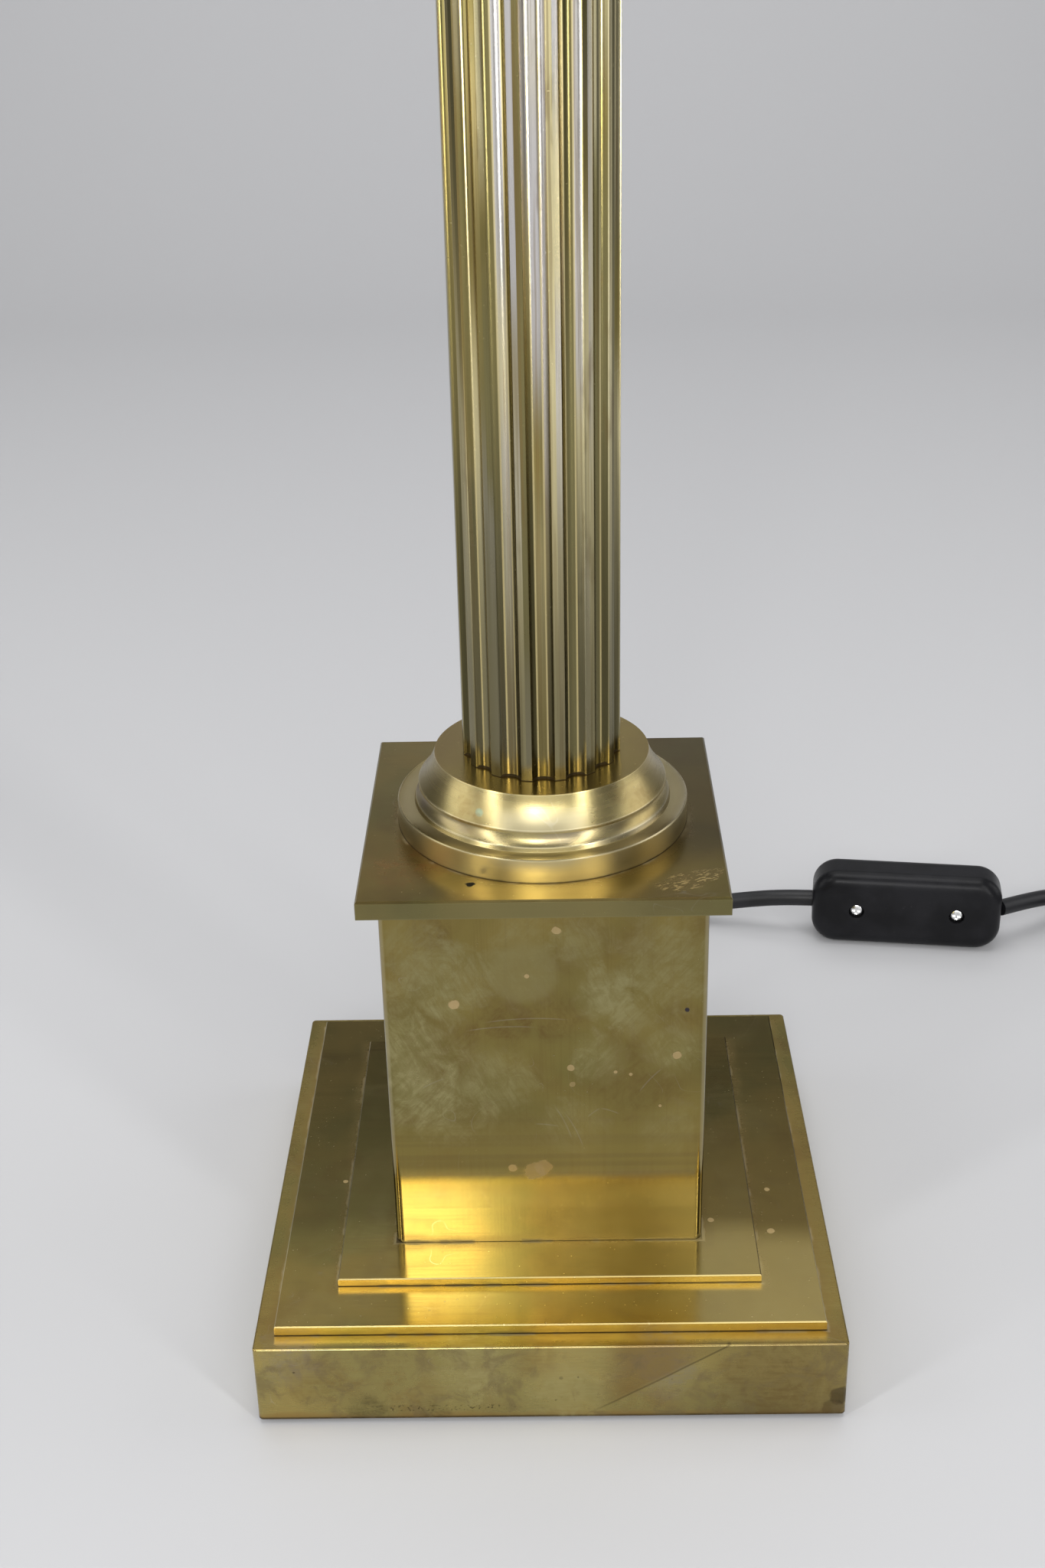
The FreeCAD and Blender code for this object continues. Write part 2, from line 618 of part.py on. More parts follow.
def steps_and_pedestal():
    """The step plates, the box with its two centring plates, and the cap plate."""
    plate("step_plate_lower", SLAB_TOP, LOWER_STEP_SIDE, "Sizes.lower_step_thick",
          "Sizes.plate_edge", TUBE_HOLE)
    plate("step_plate_upper", LOWER_STEP_TOP, UPPER_STEP_SIDE, "Sizes.upper_step_thick",
          "Sizes.plate_edge", TUBE_HOLE)
    box = new_body("pedestal_box", UPPER_STEP_TOP)
    walls = sketch_on(box, "Walls_pedestal")
    rounded_rectangle(walls, "Sizes.pedestal_side", "Sizes.pedestal_side", "Sizes.pedestal_corner")
    hollow = "Sizes.pedestal_side - 2 * Sizes.pedestal_sheet"
    rounded_rectangle(walls, hollow, hollow, "(Sizes.pedestal_corner - Sizes.pedestal_sheet)")
    pad(box, walls, "Sizes.pedestal_height")
    inside = f"{hollow} - 2 * Sizes.locator_clearance"
    plate("pedestal_foot_locator", UPPER_STEP_TOP, inside, "Sizes.locator_thick",
          "Sizes.plate_edge", TUBE_HOLE)
    plate("pedestal_top_locator", f"{PEDESTAL_TOP} - Sizes.locator_thick", inside, "Sizes.locator_thick",
          "Sizes.plate_edge", TUBE_HOLE)
    plate("pedestal_cap", PEDESTAL_TOP, "Sizes.cap_side", "Sizes.cap_thick", "Sizes.cap_edge", TUBE_HOLE)


def column_base():
    """The turned base: plinth ring, hollow ledge, bead, scotia and flare, with a spigot for the shaft."""
    bore = f"({TUBE_HOLE} / 2)"
    spigot = "(Sizes.shaft_bore / 2 - Sizes.wall_clearance)"
    bead_foot = "Sizes.ring_height"
    bead_top = "(Sizes.ring_height + Sizes.bead_height)"
    turned("column_base", CAP_TOP, [
        (bore, "0"), ("Sizes.ring_radius", "0"), ("Sizes.ring_radius", bead_foot),
        ("Sizes.ring_radius - Sizes.plate_edge", f"{bead_foot} + Sizes.plate_edge",
         "Sizes.ledge_curve", "right"),
        ("Sizes.ledge_radius", bead_foot), ("Sizes.bead_radius", bead_top, "Sizes.bead_curve", "right"),
        ("Sizes.scotia_radius", "Sizes.scotia_top"), ("Sizes.flare_radius", "Sizes.scotia_top"),
        ("Sizes.flare_radius", "Sizes.scotia_top + Sizes.flare_lip", "Sizes.flare_curve", "right"),
        ("Sizes.base_top_radius", "Sizes.base_height"), (spigot, "Sizes.base_height"),
        (spigot, "Sizes.base_height + Sizes.spigot_height"),
        (bore, "Sizes.base_height + Sizes.spigot_height"),
    ])


def column_shaft():
    """The fluted shaft: a tube with round hollows between narrow lands."""
    body = new_body("column_shaft", COLUMN_FOOT)
    face = sketch_on(body, "Face_shaft")
    circle(face, "2 * Sizes.shaft_radius")
    circle(face, "Sizes.shaft_bore")
    pad(body, face, "Sizes.shaft_length")
    flute = sketch_on(body, "Flute_shaft")
    out = "(Sizes.shaft_radius - Sizes.flute_depth + Sizes.flute_radius)"
    circle(flute, "2 * Sizes.flute_radius", f"{out} * sin(Sizes.flute_turn * 1 deg)",
           f"-{out} * cos(Sizes.flute_turn * 1 deg)")
    hollow = cut(body, flute, "Sizes.shaft_length", reverse=True)
    pattern = body.newObject("PartDesign::PolarPattern", "Flutes_shaft")
    pattern.Originals = [hollow]
    pattern.Axis = (flute, ["N_Axis"])
    pattern.Angle = 360
    pattern.setExpression("Occurrences", "Sizes.flute_count")
    body.Tip = pattern


def column_capital():
    """The turned capital: foot bead, neck, fillet and echinus, with a spigot down into the shaft."""
    bore = f"({TUBE_HOLE} / 2)"
    spigot = "(Sizes.shaft_bore / 2 - Sizes.wall_clearance)"
    bead_in = "(Sizes.capital_foot_radius - Sizes.capital_foot_bead)"
    neck_foot = "(2 * Sizes.capital_foot_bead)"
    neck_top = f"({neck_foot} + Sizes.capital_neck_height)"
    fillet_top = f"({neck_top} + Sizes.capital_fillet_height)"
    echinus_top = "(Sizes.capital_height - Sizes.echinus_lip)"
    turned("column_capital", SHAFT_TOP, [
        (bore, "-Sizes.spigot_height"), (spigot, "-Sizes.spigot_height"), (spigot, "0"),
        (bead_in, "0", "Sizes.capital_foot_bead", "left"), (bead_in, neck_foot),
        ("Sizes.capital_neck_radius", neck_foot), ("Sizes.capital_neck_radius", neck_top),
        ("Sizes.capital_fillet_radius", neck_top),
        ("Sizes.capital_fillet_radius", fillet_top, "Sizes.echinus_curve", "left"),
        ("Sizes.echinus_radius", echinus_top), ("Sizes.echinus_radius", "Sizes.capital_height"),
        (bore, "Sizes.capital_height"),
    ])


def neck():
    """The turned neck over the top nut: foot, cove, waist and bead."""
    bore = f"({TUBE_HOLE} / 2)"
    room = "(Sizes.neck_room_width / 2)"
    bead_middle = "(Sizes.neck_height - 3 * Sizes.neck_ball_radius)"
    waist_top = f"({bead_middle} - Sizes.neck_ball_radius)"
    bead_top = f"({bead_middle} + Sizes.neck_ball_radius)"
    turned("neck", CROWN_TOP, [
        (room, "0"), ("Sizes.neck_foot_radius", "0"),
        ("Sizes.neck_foot_radius", "Sizes.neck_foot_height", "Sizes.neck_cove", "right"),
        ("Sizes.neck_waist_radius", waist_top, "Sizes.neck_ball_radius", "left"),
        ("Sizes.neck_waist_radius", bead_top),
        ("Sizes.neck_top_radius", "Sizes.neck_height - Sizes.neck_foot_height"),
        ("Sizes.neck_top_radius", "Sizes.neck_height"), (bore, "Sizes.neck_height"),
        (bore, "Sizes.neck_room_height"), (room, "Sizes.neck_room_height"),
    ])


def tie_rod_parts():
    """The threaded tube and what tightens the stack on it."""
    top = f"({NECK_TOP} + Sizes.holder_hub_height + Sizes.holder_wall)"
    ring("tie_tube", TUBE_FOOT, "Sizes.tube_width", "Sizes.tube_bore", f"{top} - {TUBE_FOOT}")
    ring("bottom_washer", WASHER_FOOT, "Sizes.washer_width", TUBE_HOLE, "Sizes.washer_thick")
    nut("bottom_nut", NUT_FOOT)
    ring("top_washer", CROWN_TOP, "Sizes.top_washer_width", TUBE_HOLE, "Sizes.top_washer_thick")
    nut("top_nut", f"{CROWN_TOP} + Sizes.top_washer_thick")


def holder_cap():
    """The lampholder's cap: a hub on the tie tube, a dome and an upright rim."""
    bore = f"({TUBE_HOLE} / 2)"
    rim_foot = "(Sizes.holder_cap_height - Sizes.holder_rim_height)"
    inner = "(Sizes.holder_cap_radius - Sizes.holder_wall)"
    floor = "(Sizes.holder_hub_height + Sizes.holder_wall)"
    turned("holder_cap", NECK_TOP, [
        (bore, "0"), ("Sizes.holder_hub_radius", "0"),
        ("Sizes.holder_hub_radius", "Sizes.holder_hub_height", "Sizes.dome_curve", "left"),
        ("Sizes.holder_cap_radius", rim_foot), ("Sizes.holder_cap_radius", "Sizes.holder_cap_height"),
        (inner, "Sizes.holder_cap_height"),
        (inner, rim_foot, "Sizes.dome_curve - Sizes.holder_wall", "right"),
        ("Sizes.holder_hub_radius", floor), (bore, floor),
    ])


def holder_insides():
    """The ceramic insert, the screw shell, the centre contact and the terminal screws."""
    insert = new_body("holder_insert", INSERT_FOOT)
    face = sketch_on(insert, "Face_insert")
    circle(face, "2 * Sizes.insert_radius")
    pad(insert, face, "Sizes.insert_height")
    holes = sketch_on(insert, "Lead_holes_insert")
    for side in ("-", ""):
        circle(holes, "Sizes.lead_hole_width", f"{side}Sizes.lead_spread", "0")
    cut(insert, holes, "Sizes.lead_hole_depth", reverse=True)
    bore, wall, foot = "Sizes.socket_radius", "Sizes.socket_wall", "Sizes.socket_foot_height"
    turned("socket_shell", INSERT_TOP, [
        ("Sizes.socket_foot_radius", "0"), (f"Sizes.socket_foot_radius + {wall}", "0"),
        (f"Sizes.socket_foot_radius + {wall}", f"{foot} - {wall}"), (f"{bore} + {wall}", f"{foot} - {wall}"),
        (f"{bore} + {wall}", "Sizes.socket_length"), (bore, "Sizes.socket_length"),
        (bore, foot), ("Sizes.socket_foot_radius", foot),
    ])
    contact = new_body("centre_contact", INSERT_TOP)
    tongue = sketch_on(contact, "Tongue_contact", "XZ_Plane", "-Sizes.contact_width / 2")
    reach, thick, rise = "Sizes.contact_width", "Sizes.contact_thick", "Sizes.contact_rise"
    outline(tongue, [
        (f"-{reach}", "0"), (reach, "0"), (reach, thick), (f"-{reach} / 2", thick),
        (f"{reach} / 2", rise), (f"{reach} / 2", f"{rise} + {thick}"), (f"-{reach}", thick),
    ])
    pad(contact, tongue, "Sizes.contact_width")
    level = number(INSERT_FOOT)
    spread = number("Sizes.lead_spread")
    screws = []
    for index, y in enumerate((-spread, spread)):
        place = Vector(0, y, level)
        screws.append(screw_at(f"terminal_{index}", place, Vector(0, 0, 1)))
    group("terminal_screws", screws)
    sockets = sketch_on(insert, "Screw_holes_insert")
    for side in ("-", ""):
        circle(sockets, "Sizes.screw_width + Sizes.screw_clearance", "0", f"{side}Sizes.lead_spread")
    cut(insert, sockets, "Sizes.screw_length", reverse=True)


def holder_skirt():
    """The skirt that carries the shade rings: a tube drawn in at its mouth, resting on the insert's rim."""
    outer, inner = "Sizes.skirt_radius", "(Sizes.skirt_radius - Sizes.holder_wall)"
    plain, thread_top = "Sizes.skirt_plain_radius", "(Sizes.skirt_entry + Sizes.skirt_thread_length)"
    mouth, top = "Sizes.skirt_mouth_radius", "(Sizes.skirt_height + Sizes.skirt_entry)"
    turned("holder_skirt", f"{HOLDER_RIM} - Sizes.skirt_entry", [
        (inner, "0"), ("Sizes.holder_cap_radius - Sizes.holder_wall - Sizes.wall_clearance", "0"),
        ("Sizes.holder_cap_radius - Sizes.holder_wall - Sizes.wall_clearance", "Sizes.skirt_entry"),
        (outer, "Sizes.skirt_entry"), (outer, thread_top), (plain, thread_top),
        (plain, f"{top} - Sizes.holder_wall"), (f"{plain} - Sizes.holder_wall", top), (mouth, top),
        (mouth, f"{top} - Sizes.holder_wall"),
        (inner, f"{top} - Sizes.holder_wall"),
    ])


def shade_rings():
    """The two threaded rings that clamp a shade, run down to the cap."""
    bore = "(Sizes.skirt_radius + Sizes.shade_ring_gap)"
    collar = f"({bore} + Sizes.shade_ring_lip)"
    thin = "(Sizes.shade_ring_thick / 2)"
    lower_foot = f"{HOLDER_RIM} + Sizes.shade_ring_start"
    for label, level in (("shade_ring_lower", lower_foot),
                         ("shade_ring_upper", f"{lower_foot} + Sizes.shade_ring_thick")):
        turned(label, level, [
            (bore, "0"), ("Sizes.shade_ring_radius", "0"), ("Sizes.shade_ring_radius", thin),
            (collar, thin), (collar, "Sizes.shade_ring_thick"), (bore, "Sizes.shade_ring_thick"),
        ])


def tube_route(points, share=0.45):
    """Straight runs through the points, joined by arcs as large as the two runs beside each allow."""
    edges, radii = [], []
    start = points[0]
    for before, corner, after in zip(points, points[1:], points[2:]):
        back, ahead = before - corner, after - corner
        turn = math.pi - back.getAngle(ahead)
        tangent = share * min(back.Length, ahead.Length)
        radius = tangent / math.tan(turn / 2)
        radii.append(radius)
        first = corner + back.normalize() * tangent
        last = corner + ahead.normalize() * tangent
        to_middle = (first + last) / 2 - corner
        middle = corner + to_middle.normalize() * (math.hypot(radius, tangent) - radius)
        edges.append(Part.LineSegment(start, first).toShape())
        edges.append(Part.Arc(first, middle, last).toShape())
        start = last
    edges.append(Part.LineSegment(start, points[-1]).toShape())
    return Part.Wire(edges), radii


def cord_solid(label, points, width):
    """A plain round cord along a route, its volume compared with section times length."""
    route, radii = tube_route(points)
    direction = points[1] - points[0]
    disc = Part.Face(Part.Wire(Part.makeCircle(width / 2, points[0], direction)))
    solid = route.makePipeShell([disc.OuterWire], True, False, 2)
    expected = math.pi * width ** 2 / 4 * route.Length
    print(label, "length", round(route.Length, 1), "radii", [round(radius, 1) for radius in radii],
          "volume share", round(solid.Volume / expected, 4))
    if abs(solid.Volume / expected - 1) > 0.02:
        raise ValueError(f"{label} has the wrong volume")
    feature = document.addObject("Part::Feature", f"Cord_{label}")
    feature.Shape = solid
    return keep(label, feature)


def leads():
    """The two conductors: flat from the sheath's end, up the tie tube and out to the terminals."""
    width, apart = number("Sizes.lead_width"), number("Sizes.lead_apart") / 2
    flat, stripped = number("Sizes.lead_drop"), number("Sizes.cord_stripped")
    level, bend, rise = number("Sizes.cord_height"), number("Sizes.lead_bend"), number("Sizes.lead_rise")
    spread, insert_foot = number("Sizes.lead_spread"), number(INSERT_FOOT)
    tube_top = number(f"{NECK_TOP} + Sizes.holder_hub_height + Sizes.holder_wall")
    fan_start = tube_top - number("Sizes.lead_fan_start")
    fan_end = insert_foot - number("Sizes.lead_fan_end")
    seat = insert_foot + number("Sizes.lead_seat")
    for label, side in (("lead_live", -1), ("lead_neutral", 1)):
        x = side * apart
        route = [
            Vector(x, stripped, level), Vector(x, stripped * 3 / 4, level), Vector(x, stripped / 2, flat),
            Vector(x, bend, flat), Vector(x, 0, flat + rise), Vector(x, 0, fan_start),
            Vector(side * spread, 0, fan_end), Vector(side * spread, 0, seat),
        ]
        cord_solid(label, route, width)


def cord_relief():
    """The tapered sleeve in the slab's back wall, with a flange each side of the wall."""
    body = new_body("cord_relief", "Sizes.cord_height")
    section = sketch_on(body, "Section_relief", "YZ_Plane")
    hole, neck_half = f"({CORD_HOLE} / 2)", "(Sizes.relief_neck_width / 2)"
    flange, thick = "(Sizes.relief_flange_width / 2)", "Sizes.relief_flange_thick"
    back, inner = SLAB_BACK, f"({SLAB_BACK} - Sizes.slab_sheet)"
    outline(section, [
        (f"{inner} - {thick}", hole), (f"{back} + Sizes.relief_length", hole),
        (f"{back} + Sizes.relief_length", "Sizes.relief_tip_width / 2"), (f"{back} + {thick}", neck_half),
        (f"{back} + {thick}", flange), (back, flange), (back, neck_half),
        (inner, neck_half), (inner, flange), (f"{inner} - {thick}", flange),
    ])
    feature = body.newObject("PartDesign::Revolution", "Turning_relief")
    feature.Profile = section
    feature.ReferenceAxis = (section, ["H_Axis"])
    feature.Angle = 360


def straight_rod(label, width, start, length):
    """A straight round stretch along +Y."""
    rod = document.addObject("Part::Cylinder", f"Rod_{label}")
    rod.setExpression("Radius", f"{width} / 2")
    rod.setExpression("Height", length)
    rod.Placement.Rotation = FreeCAD.Rotation(Vector(1, 0, 0), -90)
    rod.setExpression("Placement.Base.y", start)
    rod.setExpression("Placement.Base.z", "Sizes.cord_height")
    return keep(label, rod)


def switch_place():
    """Where the inline switch lies: on its long edge, turned about the upright."""
    middle = Vector(number("Sizes.switch_middle_x"), number("Sizes.switch_middle_y"), number(SWITCH_MIDDLE_Z))
    return FreeCAD.Placement(middle, FreeCAD.Rotation(Vector(0, 0, 1), number("Sizes.switch_turn")))


def stand_switch(thing):
    """Bind a piece of the switch to the place where the switch lies."""
    thing.Placement = switch_place()
    thing.setExpression("Placement.Base.x", "Sizes.switch_middle_x")
    thing.setExpression("Placement.Base.y", "Sizes.switch_middle_y")
    thing.setExpression("Placement.Base.z", SWITCH_MIDDLE_Z)
    thing.setExpression("Placement.Rotation.Angle", "Sizes.switch_turn * 1 deg")


def switch_shell(label, thick, upward):
    """One shell of the switch: rounded outside, hollow from the parting face, notched for the cord."""
    body = new_body(label)
    face = sketch_on(body, f"Face_{label}", "XZ_Plane", "-Sizes.switch_split")
    rounded_rectangle(face, "Sizes.switch_length", "Sizes.switch_width", "Sizes.switch_corner")
    pad(body, face, thick, reverse=upward)
    document.recompute()
    sign = 1 if upward else -1
    far = number("Sizes.switch_split") + sign * number(thick)
    rim = edges_where(body.Tip.Shape, lambda item: lies_at(item, "Y", far))
    soften(body, "Fillet", rim, "Sizes.switch_edge", f"Edge_{label}")
    hollow = sketch_on(body, f"Hollow_{label}", "XZ_Plane", "-Sizes.switch_split")
    rounded_rectangle(hollow, "Sizes.switch_length - 2 * Sizes.switch_wall",
                      "Sizes.switch_width - 2 * Sizes.switch_wall", "Sizes.switch_inside_corner")
    cut(body, hollow, f"{thick} - Sizes.switch_wall", reverse=not upward)
    notch = sketch_on(body, f"Notch_{label}", "YZ_Plane", f"{SWITCH_HALF} + Sizes.switch_wall")
    circle(notch, "Sizes.cord_mouth_width")
    cut(body, notch)
    return body


def screw_spots(sketch, width):
    """The two screws' places on the switch's middle line."""
    for side in ("-", ""):
        circle(sketch, width, f"{side}Sizes.switch_screw_apart / 2", "0")


def lower_shell():
    """The screw side: two sunk holes, each in a boss."""
    body = switch_shell("switch_lower_shell", "Sizes.switch_lower_thick", False)
    outside = "(Sizes.switch_lower_thick - Sizes.switch_split)"
    boss = sketch_on(body, "Boss_lower", "XZ_Plane", f"{outside} - Sizes.switch_wall / 2")
    screw_spots(boss, "Sizes.boss_width")
    pad(body, boss, "Sizes.switch_lower_thick - Sizes.switch_wall / 2", reverse=True)
    sunk = sketch_on(body, "Sunk_lower", "XZ_Plane", outside)
    screw_spots(sunk, "Sizes.screw_head_width + 2 * Sizes.wall_clearance")
    cut(body, sunk, "Sizes.switch_screw_sunk + Sizes.screw_head_thick")
    hole = sketch_on(body, "Hole_lower", "XZ_Plane", outside)
    screw_spots(hole, "Sizes.screw_width + Sizes.screw_clearance")
    cut(body, hole, outside + " + Sizes.switch_wall")
    stand_switch(body)


def upper_shell():
    """The rocker side: a slot for the rocker, two pivot ribs and two screw bosses."""
    body = switch_shell("switch_upper_shell", "Sizes.switch_upper_thick", True)
    outside = "(Sizes.switch_upper_thick + Sizes.switch_split)"
    ceiling = f"({outside} - Sizes.switch_wall)"
    boss = sketch_on(body, "Boss_upper", "XZ_Plane", "-Sizes.switch_split")
    screw_spots(boss, "Sizes.boss_width")
    pad(body, boss, "Sizes.switch_upper_thick - Sizes.switch_wall / 2", reverse=True)
    hole = sketch_on(body, "Hole_upper", "XZ_Plane", "-Sizes.switch_split")
    screw_spots(hole, "Sizes.screw_width + Sizes.screw_clearance")
    cut(body, hole, "Sizes.screw_length")
    opening = sketch_on(body, "Opening_upper", "XZ_Plane", f"-({ceiling})")
    slot(opening, "Sizes.rocker_length + 2 * Sizes.rocker_end_gap",
         "Sizes.rocker_width + 2 * Sizes.rocker_gap")
    cut(body, opening, "2 * Sizes.switch_wall")
    rib_inner = "(Sizes.rocker_width / 2 + Sizes.rocker_gap)"
    rib = sketch_on(body, "Rib_upper", "XY_Plane", rib_inner)
    rectangle(rib, "-Sizes.rib_half", "Sizes.rib_half", f"{ceiling} - Sizes.rib_depth",
              f"{ceiling} + Sizes.wall_clearance")
    one_side = pad(body, rib, "Sizes.rib_thick")
    mirror = body.newObject("PartDesign::Mirrored", "Ribs_upper")
    mirror.Originals = [one_side]
    mirror.MirrorPlane = ([item for item in body.Origin.OriginFeatures if item.Role == "XY_Plane"][0], [""])
    body.Tip = mirror
    bearing = sketch_on(body, "Bearing_upper", "XY_Plane", f"{rib_inner} + Sizes.rib_thick")
    circle(bearing, "Sizes.pivot_width + Sizes.pivot_clearance", "0", "Sizes.pivot_level")
    cut(body, bearing, f"2 * ({rib_inner} + Sizes.rib_thick)")
    stand_switch(body)


def rocker():
    """The rocker: a slot-shaped key with a hollowed top, pivot stubs and a foot over the contact leaf."""
    body = new_body("switch_rocker")
    key = sketch_on(body, "Key_rocker", "XZ_Plane", "-Sizes.rocker_foot")
    slot(key, "Sizes.rocker_length", "Sizes.rocker_width")
    pad(body, key, "Sizes.rocker_crown - Sizes.rocker_foot", reverse=True)
    document.recompute()
    half, over = "(Sizes.rocker_length / 2)", "(Sizes.rocker_crown + Sizes.rocker_end_gap)"
    top = sketch_on(body, "Top_rocker", "XY_Plane", "Sizes.rocker_width")
    outline(top, [
        ("0", "Sizes.rocker_middle"), (half, "Sizes.rocker_crown - Sizes.plate_edge"),
        (half, over), (f"-{half}", over), (f"-{half}", "Sizes.rocker_crown - Sizes.plate_edge"),
    ])
    cut(body, top, "2 * Sizes.rocker_width")
    stub = sketch_on(body, "Pivot_rocker", "XY_Plane")
    circle(stub, "Sizes.pivot_width", "0", "Sizes.pivot_level")
    pad(body, stub, "Sizes.rocker_width + 2 * Sizes.rocker_gap + 2 * Sizes.rib_thick", symmetric=True)
    foot = sketch_on(body, "Foot_rocker", "XY_Plane")
    rectangle(foot, "-Sizes.pivot_width / 2", "Sizes.pivot_width / 2", "Sizes.rocker_foot_low",
              "Sizes.rocker_foot + Sizes.rocker_foot_overlap")
    pad(body, foot, "Sizes.rocker_width - 2 * Sizes.plate_edge", symmetric=True)
    document.recompute()
    pivot = Vector(0, number("Sizes.pivot_level"), 0)
    tilt = FreeCAD.Rotation(Vector(0, 0, 1), -number("Sizes.rocker_tilt"))
    body.Placement = switch_place().multiply(FreeCAD.Placement(Vector(0, 0, 0), tilt, pivot))


def switch_insides():
    """The terminal blocks, the contact leaf and the two screws."""
    floor = "(Sizes.switch_split - Sizes.switch_lower_thick + Sizes.switch_wall)"
    blocks = []
    for index, (side_x, side_z) in enumerate(((-1, -1), (-1, 1), (1, -1), (1, 1))):
        block = document.addObject("Part::Box", f"Terminal_{index}")
        block.setExpression("Length", "Sizes.terminal_long")
        block.setExpression("Width", "Sizes.terminal_high")
        block.setExpression("Height", "Sizes.terminal_wide")
        middle_x = f"({side_x} * Sizes.switch_screw_apart / 2 - Sizes.terminal_long / 2)"
        middle_z = f"({side_z} * Sizes.terminal_out - Sizes.terminal_wide / 2)"
        block.setExpression("Placement.Base.x", middle_x)
        block.setExpression("Placement.Base.y", floor)
        block.setExpression("Placement.Base.z", middle_z)
        blocks.append(block)
    terminals = group("switch_terminals", blocks)
    stand_switch(terminals)
    leaf = new_body("contact_leaf")
    strip = sketch_on(leaf, "Strip_leaf", "XY_Plane", "Sizes.terminal_out")
    inner_end = "(Sizes.switch_screw_apart / 2 - Sizes.terminal_long / 2)"
    seat = f"({floor} + Sizes.terminal_high)"
    outline(strip, [
        (f"-{inner_end} - Sizes.terminal_wide", seat), (f"{inner_end}", seat),
        (f"{inner_end}", f"{seat} + Sizes.leaf_thick"),
        (f"-{inner_end} - Sizes.terminal_wide", f"{seat} + Sizes.leaf_thick"),
    ])
    pad(leaf, strip, "Sizes.leaf_width", symmetric=True)
    stand_switch(leaf)
    depth = number("Sizes.switch_split - Sizes.switch_lower_thick"
                   " + Sizes.switch_screw_sunk + Sizes.screw_head_thick")
    apart = number("Sizes.switch_screw_apart") / 2
    screws = [screw_at(f"switch_{index}", Vector(x, depth, 0), Vector(0, 1, 0))
              for index, x in enumerate((-apart, apart))]
    stand_switch(group("switch_screws", screws))


# The free cord's routes, chosen by hand
CORD_TO_SWITCH = [
    (0.0, 127.0, 10.5), (3.2, 148.5, 6.2), (15.5, 168.5, 3.5), (35.0, 182.0, 3.5),
    (56.5, 187.6, 6.2), (75.0, 184.3, 10.7), (93.8, 178.9, 15.0),
]
CORD_TO_COIL = [
    (182.5, 173.4, 14.3), (194.0, 180.4, 12.4), (204.5, 188.6, 8.2), (214.5, 197.8, 4.2), (224.0, 206.4, 3.2),
]
CORD_TAIL = [(294.8, 172.0, 9.3), (294.9, 161.5, 8.8), (295.1, 150.5, 6.85), (295.1, 140.0, 6.85)]


def free_cord():
    """The free cord: to the switch, on to the coil, the coil's outer shape and the tail to the plug."""
    width = number("Sizes.cord_width")
    place = switch_place()
    left_in = place.multVec(Vector(-number(f"{SWITCH_HALF} - Sizes.cord_entry"), 0, 0))
    right_in = place.multVec(Vector(number(f"{SWITCH_HALF} - Sizes.cord_exit_entry"), 0, 0))
    exit_point = Vector(0, number(f"{SLAB_BACK} + Sizes.relief_length"), number("Sizes.cord_height"))
    to_switch = [exit_point] + [Vector(*point) for point in CORD_TO_SWITCH] + [left_in]
    cord_solid("cord_to_switch", to_switch, width)
    to_coil = [right_in] + [Vector(*point) for point in CORD_TO_COIL]
    cord_solid("cord_to_coil", to_coil, width)
    cord_solid("cord_tail", [Vector(*point) for point in CORD_TAIL], width)


def cord_coil():
    """The outer shape of the put-away turns."""
    body = new_body("cord_coil")
    section = sketch_on(body, "Section_coil", "XZ_Plane")
    inner, outer = "(Sizes.coil_radius - Sizes.coil_band / 2)", "(Sizes.coil_radius + Sizes.coil_band / 2)"
    round_edge = "(Sizes.cord_width / 2)"
    outline(section, [
        (f"{inner} + {round_edge}", "0"), (f"{outer} - {round_edge}", "0", round_edge, "left"),
        (outer, round_edge), (outer, f"Sizes.coil_height - {round_edge}", round_edge, "left"),
        (f"{outer} - {round_edge}", "Sizes.coil_height"),
        (f"{inner} + {round_edge}", "Sizes.coil_height", round_edge, "left"),
        (inner, f"Sizes.coil_height - {round_edge}"), (inner, round_edge, round_edge, "left"),
    ])
    feature = body.newObject("PartDesign::Revolution", "Turning_coil")
    feature.Profile = section
    feature.ReferenceAxis = (section, ["V_Axis"])
    feature.Angle = 360
    body.setExpression("Placement.Base.x", "Sizes.coil_middle_x")
    body.setExpression("Placement.Base.y", "Sizes.coil_middle_y")


